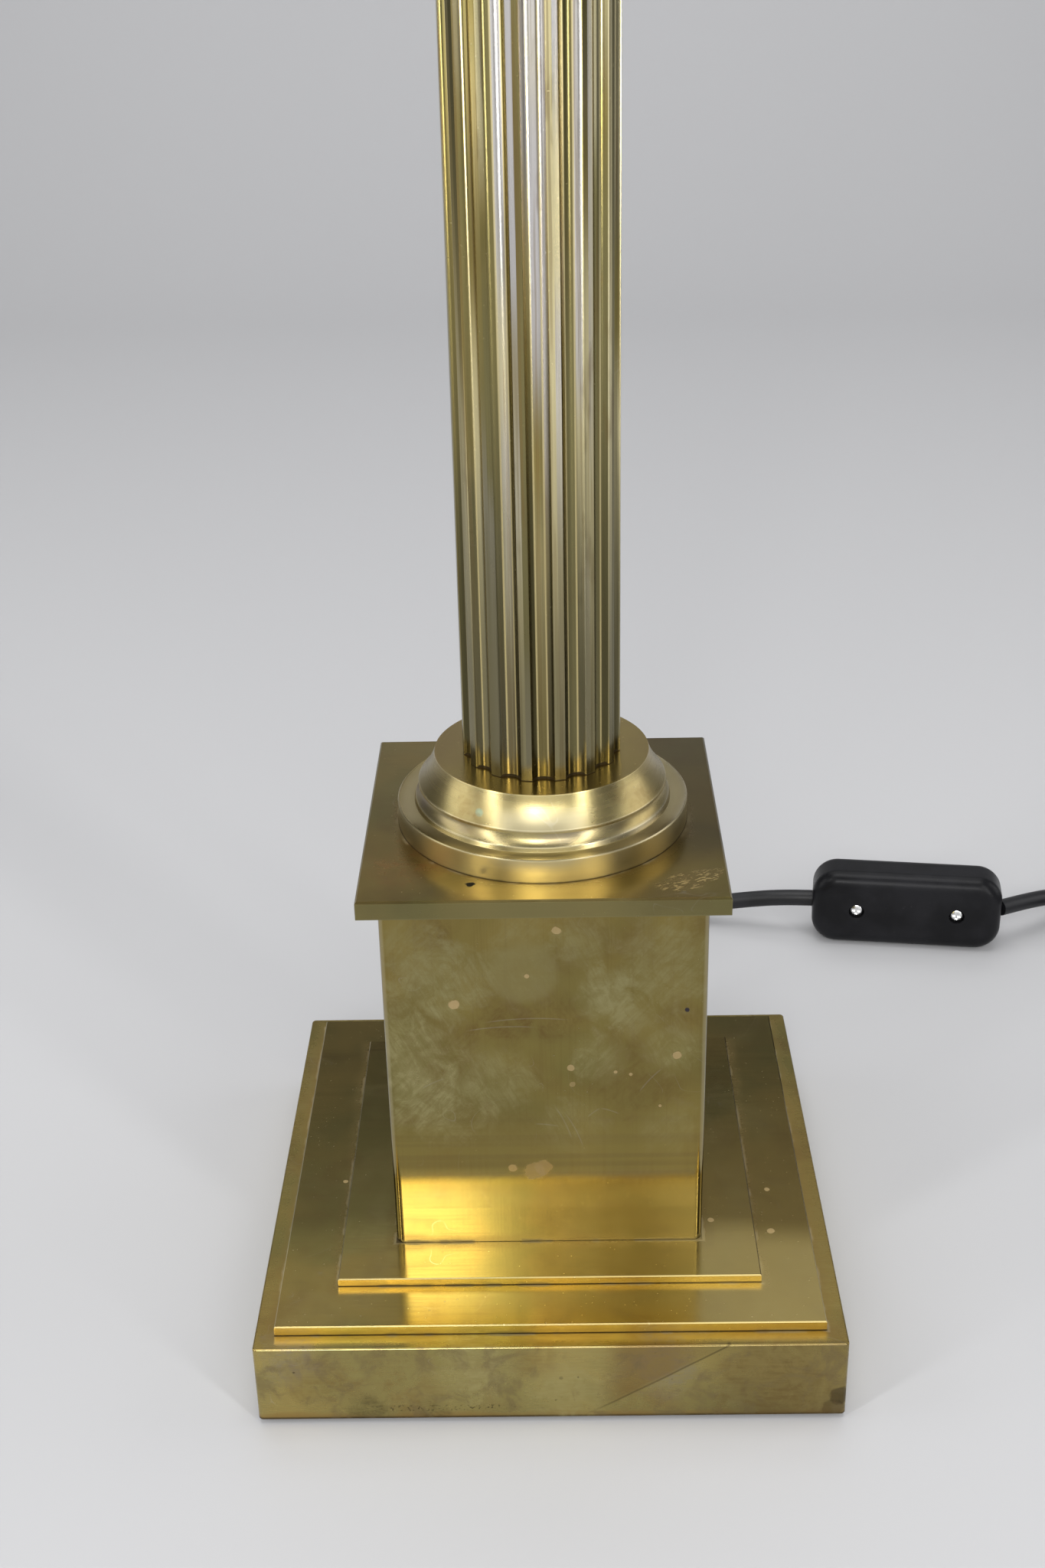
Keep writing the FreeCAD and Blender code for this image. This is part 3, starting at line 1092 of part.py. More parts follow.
def plug():
    """The flat moulded plug: straight front, shoulders and tail in one moulding, with two sleeved pins."""
    start = Vector(*CORD_TAIL[-1])
    body = new_body("plug_body")
    taper_foot = "Sizes.plug_tail_length"
    front_foot = f"({taper_foot} + Sizes.plug_taper_length)"
    face = f"({front_foot} + Sizes.plug_face_length)"
    front = sketch_on(body, "Front_plug", "XZ_Plane", front_foot)
    slot(front, "Sizes.plug_wide", "Sizes.plug_thick")
    pad(body, front, "Sizes.plug_face_length")
    shoulder = sketch_on(body, "Shoulder_plug", "XZ_Plane", taper_foot)
    slot(shoulder, "Sizes.plug_neck_width + Sizes.plug_flat", "Sizes.plug_neck_width")
    wide = sketch_on(body, "Wide_plug", "XZ_Plane", front_foot)
    slot(wide, "Sizes.plug_wide - 2 * Sizes.plug_shoulder_set",
         "Sizes.plug_thick - Sizes.plug_shoulder_set")
    shoulders = body.newObject("PartDesign::AdditiveLoft", "Shoulders_plug")
    shoulders.Profile = wide
    shoulders.Sections = [shoulder]
    shoulders.Ruled = True
    tip = sketch_on(body, "Tip_plug", "XZ_Plane")
    slot(tip, "Sizes.plug_tip_width + Sizes.plug_flat", "Sizes.plug_tip_width")
    neck_sketch = sketch_on(body, "Neck_plug", "XZ_Plane", taper_foot)
    tail_root = "(Sizes.plug_neck_width - Sizes.plug_neck_set)"
    slot(neck_sketch, f"{tail_root} + Sizes.plug_flat", tail_root)
    tail = body.newObject("PartDesign::AdditiveLoft", "Tail_plug")
    tail.Profile = neck_sketch
    tail.Sections = [tip]
    tail.Ruled = True
    document.recompute()
    roots = sketch_on(body, "Pin_roots_plug", "XZ_Plane", face)
    for side in ("-", ""):
        circle(roots, "Sizes.pin_width + 2 * Sizes.wall_clearance", f"{side}Sizes.pin_apart / 2", "0")
    cut(body, roots, "Sizes.pin_root")
    body.Placement.Base = start
    pins, sleeves = [], []
    for index, side in enumerate((-1, 1)):
        pins.append(pin_along(f"pin_{index}", side, face, start))
        sleeves.append(sleeve_along(f"sleeve_{index}", side, face, start))
    group("plug_pins", pins)
    group("pin_sleeves", sleeves)


def rod_in_plug(name, side, radius, first, length, start):
    """A round rod along -Y, measured from the tail's end."""
    rod = document.addObject("Part::Cylinder", f"Rod_{name}")
    rod.setExpression("Radius", radius)
    rod.setExpression("Height", length)
    x = number("Sizes.pin_apart") / 2 * side
    rod.Placement = FreeCAD.Placement(start + Vector(x, -number(first), 0),
                                      FreeCAD.Rotation(Vector(1, 0, 0), 90))
    return rod


def pin_along(name, side, face, start):
    """One pin: full width at its tip and root, thinner under its sleeve."""
    core = "(Sizes.sleeve_width / 2 - Sizes.sleeve_wall)"
    root = rod_in_plug(f"{name}_root", side, "Sizes.pin_width / 2", f"{face} - Sizes.pin_root",
                       "Sizes.pin_root", start)
    middle = rod_in_plug(f"{name}_core", side, core, f"{face} - Sizes.pin_joint",
                          "Sizes.pin_length - Sizes.pin_joint", start)
    tip = rod_in_plug(f"{name}_tip", side, "Sizes.pin_width / 2", f"{face} + Sizes.sleeve_length",
                      "Sizes.pin_length - Sizes.sleeve_length", start)
    pin = document.addObject("Part::MultiFuse", f"Pin_{name}")
    pin.Shapes = [root, middle, tip]
    return pin


def sleeve_along(name, side, face, start):
    """The insulating sleeve on one pin."""
    core = "(Sizes.sleeve_width / 2 - Sizes.sleeve_wall)"
    outside = rod_in_plug(f"{name}_outside", side, "Sizes.sleeve_width / 2", face,
                          "Sizes.sleeve_length", start)
    inside = rod_in_plug(f"{name}_inside", side, core, face, "Sizes.sleeve_length", start)
    sleeve = document.addObject("Part::Cut", f"Sleeve_{name}")
    sleeve.Base, sleeve.Tool = outside, inside
    return sleeve


def write_parts():
    """Check every object, then write one STEP file for each sub-part."""
    document.recompute()
    for thing in document.Objects:
        if "Invalid" in thing.State or "Error" in thing.State:
            raise ValueError(f"{thing.Label} failed: {thing.State}")
    for piece in pieces:
        shape = piece.Shape
        if shape.isNull() or not shape.isValid() or not shape.Solids:
            raise ValueError(f"{piece.Label} has no valid solid")
    os.makedirs("parts", exist_ok=True)
    for piece in pieces:
        piece.Shape.exportStep(f"parts/{piece.Label}.step")
        box = piece.Shape.optimalBoundingBox(False)
        print(f"{piece.Label}: {len(piece.Shape.Solids)} solid, {piece.Shape.Volume / 1000:.2f} cm3,",
              f"X {box.XMin:.2f}..{box.XMax:.2f} Y {box.YMin:.2f}..{box.YMax:.2f}",
              f"Z {box.ZMin:.2f}..{box.ZMax:.2f}")


felt_and_board()
slab()
ballast()
saddle()
saddle_screws()
steps_and_pedestal()
column_base()
column_shaft()
column_capital()
plate("abacus", CAPITAL_TOP, "Sizes.abacus_side", "Sizes.abacus_thick", "Sizes.cap_edge", TUBE_HOLE)
plate("crown_plate", ABACUS_TOP, "Sizes.crown_side", "Sizes.crown_thick", "Sizes.plate_edge", TUBE_HOLE)
tie_rod_parts()
neck()
holder_cap()
holder_insides()
holder_skirt()
shade_rings()
leads()
cord_relief()
straight_rod("cord_inner", "Sizes.cord_width", "Sizes.cord_stripped",
             f"{SLAB_BACK} + Sizes.relief_length - Sizes.cord_stripped")
free_cord()
lower_shell()
upper_shell()
rocker()
switch_insides()
cord_coil()
plug()
write_parts()
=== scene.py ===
from math import cos, hypot, pi, radians, sin

import bmesh
import bpy
from mathutils import Matrix, Vector


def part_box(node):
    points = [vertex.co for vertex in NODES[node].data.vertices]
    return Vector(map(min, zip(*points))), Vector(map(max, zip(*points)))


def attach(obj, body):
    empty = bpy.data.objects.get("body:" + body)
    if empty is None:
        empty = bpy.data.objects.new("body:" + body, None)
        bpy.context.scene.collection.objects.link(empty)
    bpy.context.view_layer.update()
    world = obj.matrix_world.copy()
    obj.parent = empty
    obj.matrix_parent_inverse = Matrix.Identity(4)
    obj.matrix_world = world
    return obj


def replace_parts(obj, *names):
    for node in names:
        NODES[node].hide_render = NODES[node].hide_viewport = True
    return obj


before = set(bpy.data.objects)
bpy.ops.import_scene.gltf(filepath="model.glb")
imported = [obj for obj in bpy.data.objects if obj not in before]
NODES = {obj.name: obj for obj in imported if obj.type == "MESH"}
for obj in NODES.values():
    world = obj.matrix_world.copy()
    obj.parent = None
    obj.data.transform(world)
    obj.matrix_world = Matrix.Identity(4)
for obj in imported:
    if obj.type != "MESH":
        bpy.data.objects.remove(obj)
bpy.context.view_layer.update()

# Column table lamp in polished, aged brass, in metres, +Z up, its front towards -Y.
MM = 0.001


def placed(name, data):
    """An object of some data, linked into the scene."""
    thing = bpy.data.objects.new(name, data)
    bpy.context.scene.collection.objects.link(thing)
    return thing


def as_made(thing):
    """A plain mesh of an object as its modifiers leave it."""
    return bpy.data.meshes.new_from_object(thing.evaluated_get(bpy.context.evaluated_depsgraph_get()))


# Camera at the photograph's viewing angle
CAMERA_PLACE = (0.0026, -0.4818, 0.3944)
CAMERA_DOWN = radians(26.47)
CAMERA_LEAN = radians(1.27)
CAMERA_TURN = radians(0.95)
FOCAL_PIXELS = 2560.8
PICTURE_HEIGHT = 2048
SENSOR = 36.0


def place_camera():
    """The camera, turned down, leant and turned as the photograph shows."""
    turn = (Matrix.Rotation(CAMERA_TURN, 3, "Z") @ Matrix.Rotation(-CAMERA_DOWN, 3, "X")
            @ Matrix.Rotation(CAMERA_LEAN, 3, "Y"))
    right, ahead, up = turn.col[0], turn.col[1], turn.col[2]
    axes = Matrix((right, up, -ahead)).transposed()
    lens = bpy.data.cameras.new("photograph")
    lens.sensor_width = SENSOR
    lens.lens = FOCAL_PIXELS * SENSOR / PICTURE_HEIGHT
    lens.clip_start = 0.01
    camera = placed("photograph", lens)
    camera.matrix_world = Matrix.Translation(CAMERA_PLACE) @ axes.to_4x4()
    bpy.context.scene.camera = camera


# Shader values as Python expressions
def operator(operation, reflected=False):
    """A method that joins a value and its neighbour through a Math node."""
    def method(self, other):
        return self.maths(operation, *((other, self) if reflected else (self, other)))
    return method


class Value:
    """A number socket of a finish; arithmetic on it adds Math nodes."""
    __add__, __radd__ = operator("ADD"), operator("ADD", True)
    __sub__, __rsub__ = operator("SUBTRACT"), operator("SUBTRACT", True)
    __mul__, __rmul__ = operator("MULTIPLY"), operator("MULTIPLY", True)
    __truediv__, __rtruediv__ = operator("DIVIDE"), operator("DIVIDE", True)
    __pow__, __rpow__ = operator("POWER"), operator("POWER", True)

    def __init__(self, finish, socket):
        self.finish = finish
        self.socket = socket

    def __abs__(self):
        return self.maths("ABSOLUTE", self)

    def maths(self, operation, *operands):
        """A Math node over any values and numbers."""
        return self.finish.node("ShaderNodeMath", {"operation": operation}, dict(enumerate(operands)))


ROUND_REACH = 0.03  # the turned pieces' usual radius, so that lines round the axis keep their length


class Finish:
    """A material that is being made, with one principled shader, its colour and its roughness."""

    def __init__(self, name):
        self.material = bpy.data.materials.new(name)
        self.material.use_nodes = True
        self.tree = self.material.node_tree
        self.tree.nodes.clear()
        output = self.tree.nodes.new("ShaderNodeOutputMaterial")
        self.shader = self.tree.nodes.new("ShaderNodeBsdfPrincipled")
        self.tree.links.new(self.shader.outputs[0], output.inputs[0])
        self.place = self.node("ShaderNodeTexCoord", {}, {}, "Object")
        self.x, self.y, self.z = (self.node("ShaderNodeSeparateXYZ", {}, {0: self.place}, axis)
                                  for axis in range(3))

    def node(self, kind, settings, sockets, output=0):
        """A node with its settings, then its sockets' values or links; its chosen output comes back."""
        made = self.tree.nodes.new(kind)
        for name, value in settings.items():
            setattr(made, name, value)
        for key, value in sockets.items():
            self.feed(made.inputs[key], value)
        return Value(self, made.outputs[output])

    def feed(self, socket, value):
        """Link a value to a socket, or set a plain one."""
        if isinstance(value, Value):
            self.tree.links.new(value.socket, socket)
        else:
            socket.default_value = value

    def set(self, **sockets):
        """Values or links for the principled shader; an underscore stands for a space."""
        for name, value in sockets.items():
            self.feed(self.shader.inputs[name.replace("_", " ")], value)

    def stretched(self, x, y, z, turn=(0, 0, 0)):
        """Object coordinates turned, then multiplied along each axis."""
        place = self.place
        if any(turn):
            place = self.node("ShaderNodeVectorRotate", {"rotation_type": "EULER_XYZ"},
                              {"Vector": place, "Rotation": turn})
        return self.node("ShaderNodeMapping", {"vector_type": "POINT"}, {"Vector": place, "Scale": (x, y, z)})

    def angle(self):
        """The angle round the lamp's axis from its front, in radians."""
        return self.x.maths("ARCTAN2", self.x, 0 - self.y)

    def reach(self):
        """Distance from the lamp's axis."""
        return (self.x * self.x + self.y * self.y) ** 0.5

    def wrapped(self, along, outward, upward):
        """Coordinates that run round the lamp's axis, outward from it and up it, each multiplied."""
        return self.node("ShaderNodeCombineXYZ", {}, {
            0: self.angle() * (along * ROUND_REACH), 1: self.reach() * outward, 2: self.z * upward})

    def noise(self, scale, detail=3, roughness=0.5, distortion=0, place=None):
        """Cloudy noise in 0 to 1; scale is in waves to the metre."""
        return self.node("ShaderNodeTexNoise", {}, {
            "Vector": place or self.place, "Scale": scale, "Detail": detail,
            "Roughness": roughness, "Distortion": distortion})

    def between(self, value, low, high):
        """A smooth step from 0 at low to 1 at high; low may be the larger."""
        return self.node("ShaderNodeMapRange", {"interpolation_type": "SMOOTHSTEP", "clamp": True},
                         {"Value": value, "From Min": low, "From Max": high})

    def ramp(self, value, low, high):
        """The same step between two lengths in millimetres."""
        return self.between(value, low * MM, high * MM)

    def larger(self, first, second):
        """The larger of two values."""
        return first.maths("MAXIMUM", first, second)

    def smaller(self, first, second):
        """The smaller of two values."""
        return first.maths("MINIMUM", first, second)

    def blend(self, factor, first, second):
        """A colour from first to second."""
        first, second = (colour if isinstance(colour, Value) else (*colour, 1) for colour in (first, second))
        return self.node("ShaderNodeMix", {"data_type": "RGBA", "clamp_factor": True},
                         {0: factor, 6: first, 7: second}, 2)

    def tint(self, factor, colour):
        """Blend the finish's colour towards another one."""
        self.colour = self.blend(factor, self.colour, colour)

    def sway(self, noise, reach):
        """Noise about zero, to move a border by a reach in millimetres."""
        return (noise - 0.5) * reach * MM

    def away(self, place, radius):
        """Distance from a place, as a share of a radius; both are in millimetres."""
        place = tuple(part * MM for part in place)
        distance = self.node("ShaderNodeVectorMath", {"operation": "DISTANCE"}, {0: self.place, 1: place}, 1)
        return distance / (radius * MM)

    def spot(self, place, radius, ragged, scale):
        """A round patch with an uneven outline."""
        edge = self.away(place, radius) + (self.noise(scale, 2) - 0.5) * 2 * ragged
        return self.between(edge, 1.05, 0.75)

    def bump(self, height, distance, strength=1, under=None):
        """A bump of a height in 0 to 1 over a distance in metres."""
        sockets = {"Height": height, "Distance": distance, "Strength": strength}
        if under:
            sockets["Normal"] = under
        return self.node("ShaderNodeBump", {}, sockets)


# Colours of brass, of what lies on it, and of painted light and shade, linear
BLACK = (0, 0, 0)
BRASS = (0.42, 0.315, 0.092)
BRASS_WARM = (0.36, 0.26, 0.09)
BRASS_DEEP = (0.36, 0.26, 0.085)
PAINTED_REFLECTION_GOLD = (0.66, 0.5, 0.18)
PAINTED_REFLECTION_PALE = (0.72, 0.58, 0.24)
PAINTED_REFLECTION_BRASS = (0.385, 0.35, 0.215)
SATIN_PAINTED_SHADE = (0.42, 0.39, 0.29)
OLIVE = (0.28, 0.235, 0.075)
OLIVE_DARK = (0.115, 0.108, 0.054)
HAZE = (0.43, 0.37, 0.16)
STRAW = (0.54, 0.48, 0.3)
CHALK = (0.48, 0.425, 0.195)
UMBER = (0.235, 0.15, 0.05)
UMBER_GREY = (0.2, 0.15, 0.075)
UMBER_SMOKED = (0.12, 0.09, 0.045)
UMBER_DARK = (0.07, 0.05, 0.025)
PAINTED_SHADE_BROWN = (0.05, 0.035, 0.018)
SOOT_AND_SHADE = (0.05, 0.04, 0.02)
VIOLET = (0.23, 0.21, 0.215)
VIOLET_DARK = (0.16, 0.12, 0.12)
PINK = (0.72, 0.53, 0.26)
EDGE_WEAR_AND_HIGHLIGHT = (0.8, 0.7, 0.42)
GRIME_AND_SHADOW = (0.045, 0.033, 0.018)
DUST = (0.55, 0.5, 0.38)
RUST = (0.3, 0.15, 0.045)
RUST_DARK = (0.2, 0.13, 0.05)
RUST_FLECK = (0.6, 0.46, 0.22)
VERDIGRIS = (0.3, 0.42, 0.3)
INK = (0.05, 0.045, 0.07)
PITCH = (0.006, 0.006, 0.006)
FACET_DARK = (0.26, 0.225, 0.095)
FACET_BRIGHT = (0.9, 0.79, 0.44)
FACET_PAINTED_REFLECTION = (0.7, 0.68, 0.68)
FOOT_TARNISH_AND_SHADE = (0.085, 0.075, 0.038)
GROOVE_PAINTED_SHADE = (0.03, 0.026, 0.012)
LAND_PAINTED_HIGHLIGHT = (0.88, 0.75, 0.4)
LAND_PAINTED_HIGHLIGHT_LOW = (0.66, 0.54, 0.25)


def box_edges(f, node):
    """Distance to the nearest edge of a square piece."""
    low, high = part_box(node)
    in_x = high.x - abs(f.x)
    in_y = high.y - abs(f.y)
    in_z = f.smaller(high.z - f.z, f.z - low.z)
    near, far = f.smaller(in_x, in_y), f.larger(in_x, in_y)
    return f.larger(near, f.smaller(far, in_z))


# How the fine lines, and the strokes of a cloth at a slant, run on a piece
def along_x(f, slant=None):
    """Brushed along X and wiped nearly so."""
    if slant is None:
        return f.stretched(45, 1500, 1500)
    return f.stretched(130, 900, 900, (0, 0, slant * 0.3))


def upright(f, slant=None):
    """Brushed up and down, and wiped at a slant."""
    if slant is None:
        return f.stretched(1500, 1500, 26)
    return f.stretched(1100, 1100, 150, (0, slant, 0))


def turned(f, slant=None):
    """Tool marks and strokes round the lamp's axis."""
    if slant is None:
        return f.wrapped(12, 1400, 1400)
    return f.wrapped(60, 700, 700 * slant)


STROKE_SLANTS = (0.45, -0.7)


def brass(name, rough, run, clouds=18, tarnish=0.5, haze=0.5):
    """Brass under old polish; run lays its lines and strokes, clouds is their scale."""
    f = Finish(name)
    f.cloud = f.noise(clouds, 3, 0.5, 0.6)
    mottle = f.noise(clouds * 3.3, 3, 0.55, 0.4)
    veil = f.noise(clouds * 1.6, 5, 0.6, 1)
    f.strokes = [f.noise(1, 3, 0.6, 0.4, run(f, slant)) for slant in STROKE_SLANTS]
    f.wisp = 0.45 + f.between(f.noise(150, 5, 0.7, 1.5), 0.4, 0.6) * 0.55
    lines = f.noise(1, 2, 0.5, place=run(f))
    # Olive and gold clouds, brown mottling, wiped haze and the fine lines
    f.colour = f.blend(f.between(f.cloud, 0.36, 0.64), OLIVE, BRASS)
    f.tint(f.between(mottle, 0.46, 0.78) * tarnish, UMBER)
    wiped = f.between(veil, 0.46, 0.66) * (0.4 + f.between(f.strokes[0], 0.35, 0.7) * 0.6)
    f.tint(wiped * haze, HAZE)
    f.tint(f.between(lines, 0.5, 0.68) * 0.16, UMBER)
    # Hair-thin scratches where a broad noise crosses its middle, and specks of dust
    scratches = f.between(abs(f.noise(31, 1, 0.5, 1.6) - 0.5), 0.0016, 0.0004)
    f.tint(scratches * f.between(mottle, 0.5, 0.62) * 0.4, DUST)
    dust = f.between(f.noise(1500, 0), 0.845, 0.875)
    f.tint(dust * 0.25, DUST)
    f.rough = rough + (f.cloud - 0.5) * 0.06 + wiped * haze * 0.1 + (lines - 0.5) * 0.08 + dust * 0.2
    f.height = lines * 0.5 + f.noise(2600, 2, 0.6) * 0.1
    f.dent = f.noise(26, 2, 0.5)
    return f


ROUGH_LEAST, ROUGH_MOST = 0.07, 0.75
LINE_RELIEF = 0.005 * MM
SWELL = 0.04 * MM
PLATE_SWELL = 0.02 * MM


def finished_brass(f, relief=LINE_RELIEF, swell=SWELL):
    """Send a brass finish's colour, roughness and bumps to its shader."""
    swelling = f.bump(f.dent, swell)
    f.set(Base_Color=f.colour, Roughness=f.smaller(f.larger(f.rough, ROUGH_LEAST), ROUGH_MOST), Metallic=1,
          Normal=f.bump(f.height, relief, 1, swelling))
    return f.material


def haze_patch(f, place, radius, colour, amount, strokes=0):
    """A wiped or tarnished patch that fades out all round, in millimetres from the origin."""
    edge = f.away(place, radius) + (f.noise(90, 5, 0.65, 1.2) - 0.5) * 3.6 * 0.6
    mark = f.between(edge, 1.3, 0.45) * f.wisp
    f.tint(mark * (0.55 + f.between(f.strokes[strokes], 0.35, 0.68) * 0.45) * amount, colour)
    f.rough += mark * amount * 0.07


def stain(f, place, radius, colour, amount, ragged=0.5, scale=260, rougher=0.1):
    """A stain with an uneven outline, in millimetres from the origin."""
    mark = f.spot(place, radius, ragged, scale)
    f.tint(mark * amount, colour)
    f.rough += mark * rougher


def lime_spot(f, place, radius, amount):
    """A small pale spot, left by a drop."""
    stain(f, place, radius, PINK, amount, 0.4, 420, 0.2)


def grime_round(f, outside):
    """Grime in the joint, dust and a brown haze round the piece above; outside is the distance beyond it."""
    line = f.ramp(outside, 0.25, 0.05)
    rim = f.ramp(outside + f.sway(f.noise(300, 3), 0.9), 1.2, 0.5) * f.between(f.noise(140, 3), 0.46, 0.62)
    haze = f.ramp(outside + f.sway(f.noise(120, 3), 5), 4, 0.3)
    f.tint(haze * 0.35, UMBER)
    f.tint(rim * 0.3, DUST)
    f.tint(line * 0.8, GRIME_AND_SHADOW)
    f.rough = f.rough + line * 0.3 + rim * 0.25 + haze * 0.08


def plate_finish(name, node, above=None, above_round=None, rough=0.19, tarnish=0.4, brown=0.15, side_haze=0.3):
    """Brass of a square plate, brushed along X and browner on top, with bright edges and grime in its joint."""
    f = brass(name, rough, along_x, 20, tarnish, 0.3)
    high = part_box(node)[1]
    top = f.between(f.z, high.z - 0.7 * MM, high.z - 0.3 * MM)
    f.tint(top * (brown + (f.cloud - 0.5)), UMBER)
    f.tint((1 - top) * side_haze, HAZE)
    if above:
        grime_round(f, f.larger(abs(f.x), abs(f.y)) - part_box(above)[1].x)
    if above_round:
        grime_round(f, f.reach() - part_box(above_round)[1].x)
    worn = f.ramp(box_edges(f, node) + f.sway(f.noise(150, 2), 0.06), 0.36, 0.14)
    f.tint(worn * 0.22, EDGE_WEAR_AND_HIGHLIGHT)
    f.rough -= worn * 0.06
    return f


# Pale spots on the step plates: across, forward and radius, in millimetres
STEP_SPOTS = ((46.4, -34.8, 1.1), (63.3, -36.8, 1.2), (64.2, -18, 0.9), (-60.5, -12, 0.8))


def step_finish(name, node, above, rough=0.19):
    """A step plate: painted shade beside and behind the pedestal, a painted reflection at its front right, and a
    painted shadow line along the bottom of its edge.
    """
    f = plate_finish(name, node, above, rough=rough)
    low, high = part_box(node)
    # Painted shade beside and behind the pedestal
    painted_shade = f.ramp(f.y + f.sway(f.cloud, 12), -44, -30)
    f.tint(painted_shade * 0.36, PAINTED_SHADE_BROWN)
    # Painted reflection: paler at the front right
    near = (1 - painted_shade) * f.ramp(f.x, 24, 44)
    f.tint(near * 0.38, PAINTED_REFLECTION_PALE)
    # Painted shadow line along the bottom of the plate's edge
    f.tint(f.ramp(f.z - low.z, 0.45, 0.15) * 0.85, GRIME_AND_SHADOW)
    for x, y, radius in STEP_SPOTS:
        lime_spot(f, (x, y, high.z / MM), radius, 0.6)
    return finished_brass(f, swell=PLATE_SWELL)


# Patches on the slab's front: across, level, radius, colour and amount
SLAB_FRONT = -80
SLAB_PATCHES = (
    (-20, 19, 11, HAZE, 0.8), (5, 10, 11, HAZE, 0.7), (-62, 15, 10, UMBER, 0.6),
    (-36, 8, 9, UMBER, 0.5), (-50, 4.5, 6, GRIME_AND_SHADOW, 0.5), (-32, 4.2, 5, GRIME_AND_SHADOW, 0.45),
    (62, 12, 17, UMBER, 0.7), (30, 20, 10, VIOLET, 0.5), (-70, 22, 8, VIOLET, 0.4),
    (-5, 22, 7, UMBER, 0.5), (-44, 20, 8, UMBER, 0.4), (22, 6, 8, UMBER, 0.4),
)
WEDGE_ACROSS, WEDGE_LEVEL, WEDGE_SLOPE = 45.7, 24.8, 0.624


def slab_finish():
    """The slab: a dark smudge, a grimy wedge and a long faint line on its front, and a dirty foot."""
    f = plate_finish("slab_brass", "base_shell", above="step_plate_lower", rough=0.26, tarnish=0.6)
    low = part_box("base_shell")[0]
    front = f.between(f.y, low.y + 2 * MM, low.y + 0.5 * MM)
    rise = f.z - low.z
    foot = f.ramp(rise + f.sway(f.noise(70, 4), 5), 2.6, 0.3)
    f.tint(foot * 0.45, RUST)
    f.tint(f.ramp(rise, 0.9, 0.3) * 0.8, GRIME_AND_SHADOW)
    # Smudge at the right corner, a speck, and the hazes
    stain(f, (78.2, SLAB_FRONT, 8), 3.2, GRIME_AND_SHADOW, 0.75, 0.5, 300)
    stain(f, (76.5, SLAB_FRONT, 3.5), 3, GRIME_AND_SHADOW, 0.5, 0.7, 300)
    stain(f, (2.8, SLAB_FRONT, 15.2), 0.7, GRIME_AND_SHADOW, 0.6, 0.4)
    for x, z, radius, colour, amount in SLAB_PATCHES:
        haze_patch(f, (x, SLAB_FRONT, z), radius, colour, amount)
    # The slanting line, with the brown wedge above it
    slope = f.z - WEDGE_LEVEL * MM - (f.x - WEDGE_ACROSS * MM) * WEDGE_SLOPE
    above = slope + f.sway(f.noise(30, 2), 3)
    line = f.ramp(abs(above), 0.5, 0.1) * f.ramp(f.x, 8, 20)
    wedge = f.ramp(above, -1, 1.5) * f.ramp(f.x, 12, 22)
    wedge *= f.ramp(f.x, 50, 30)
    f.tint(front * line * 0.55, GRIME_AND_SHADOW)
    f.tint(front * wedge * 0.7, UMBER)
    # Darker right end, brown blots, a soft row of grime low on the left, and dark specks
    f.tint(front * f.ramp(f.x, 30, 54) * 0.36, UMBER_DARK)
    blots = f.between(f.noise(110, 4, 0.62, 0.6), 0.5, 0.66)
    f.tint(front * blots * 0.5, UMBER_GREY)
    row = f.between(f.noise(1100, 2), 0.54, 0.66) * f.ramp(abs(rise - 3.4 * MM), 1.6, 0.4)
    row *= f.ramp(abs(f.x + 30 * MM), 24, 16)
    f.tint(front * row * 0.7, GRIME_AND_SHADOW)
    specks = f.between(f.noise(300, 2), 0.69, 0.73) * f.between(f.noise(24, 2), 0.48, 0.56)
    f.tint(front * specks * 0.6, GRIME_AND_SHADOW)
    f.rough += foot * 0.15
    return finished_brass(f)


# On the pedestal's front: across, level, radius and amount
PEDESTAL_SPOTS = (
    (-24.1, 111, 1.6, 0.9), (3.3, 133.2, 1.3, 0.7), (35.1, 94, 1.3, 0.75), (6.7, 90.3, 1.1, 0.75),
    (-9.7, 57, 1.4, 0.7), (-3.8, 55.9, 3.1, 0.45), (-1.2, 57.2, 2.6, 0.45), (-4.7, 119.5, 0.7, 0.8),
    (18.7, 88.8, 0.5, 0.8), (22.8, 88, 0.6, 0.8), (30.8, 77.6, 0.5, 0.8), (7, 85, 0.9, 0.45),
)
PEDESTAL_HAZES = (
    (-5.5, 121, 11, 0.4), (-4.5, 132, 8, 0.4), (16, 114, 8, 0.95), (18.5, 110, 7, 0.8),
    (9, 129.5, 8, 0.65), (31.5, 122, 14, 0.7), (-27, 118, 12, 0.85), (-34, 126, 10, 0.6),
    (-38, 98, 13, 0.85), (13, 94, 8, 0.6), (-15, 86, 12, 0.55), (-32, 80, 13, 0.95),
    (34, 96, 8, 0.6), (33, 70, 8, 0.5), (8, 72, 9, 0.45), (24, 106, 7, 0.5),
)
PEDESTAL_BROWNS = (
    (-29, 132, 6, 0.7), (-27, 93, 12, 0.7), (2, 106, 10, 0.7), (24, 84, 13, 0.6),
    (36, 106, 7, 0.5), (-10, 70, 12, 0.3), (5, 124, 6, 0.5), (-11, 105, 9, 0.9),
    (21, 99, 7, 0.5), (24, 131, 6, 0.5),
)
# Scratches there: across and level of both ends
PEDESTAL_LINES = (
    (-17, 105, 7, 105.6), (-22, 102.4, -2, 103.4), (2, 78, 6.8, 66.5), (4.6, 76, 10, 63.5),
    (11, 74, 14.6, 77), (14.6, 77, 19.8, 75), (25, 82, 31.5, 90), (-34, 84, -27, 87.5),
    (-3.5, 72, 3.5, 71),
)
SCRATCH_WIDTH, SCRATCH_BOW = 0.25, 0.16  # millimetres, and the bow as a share of the length


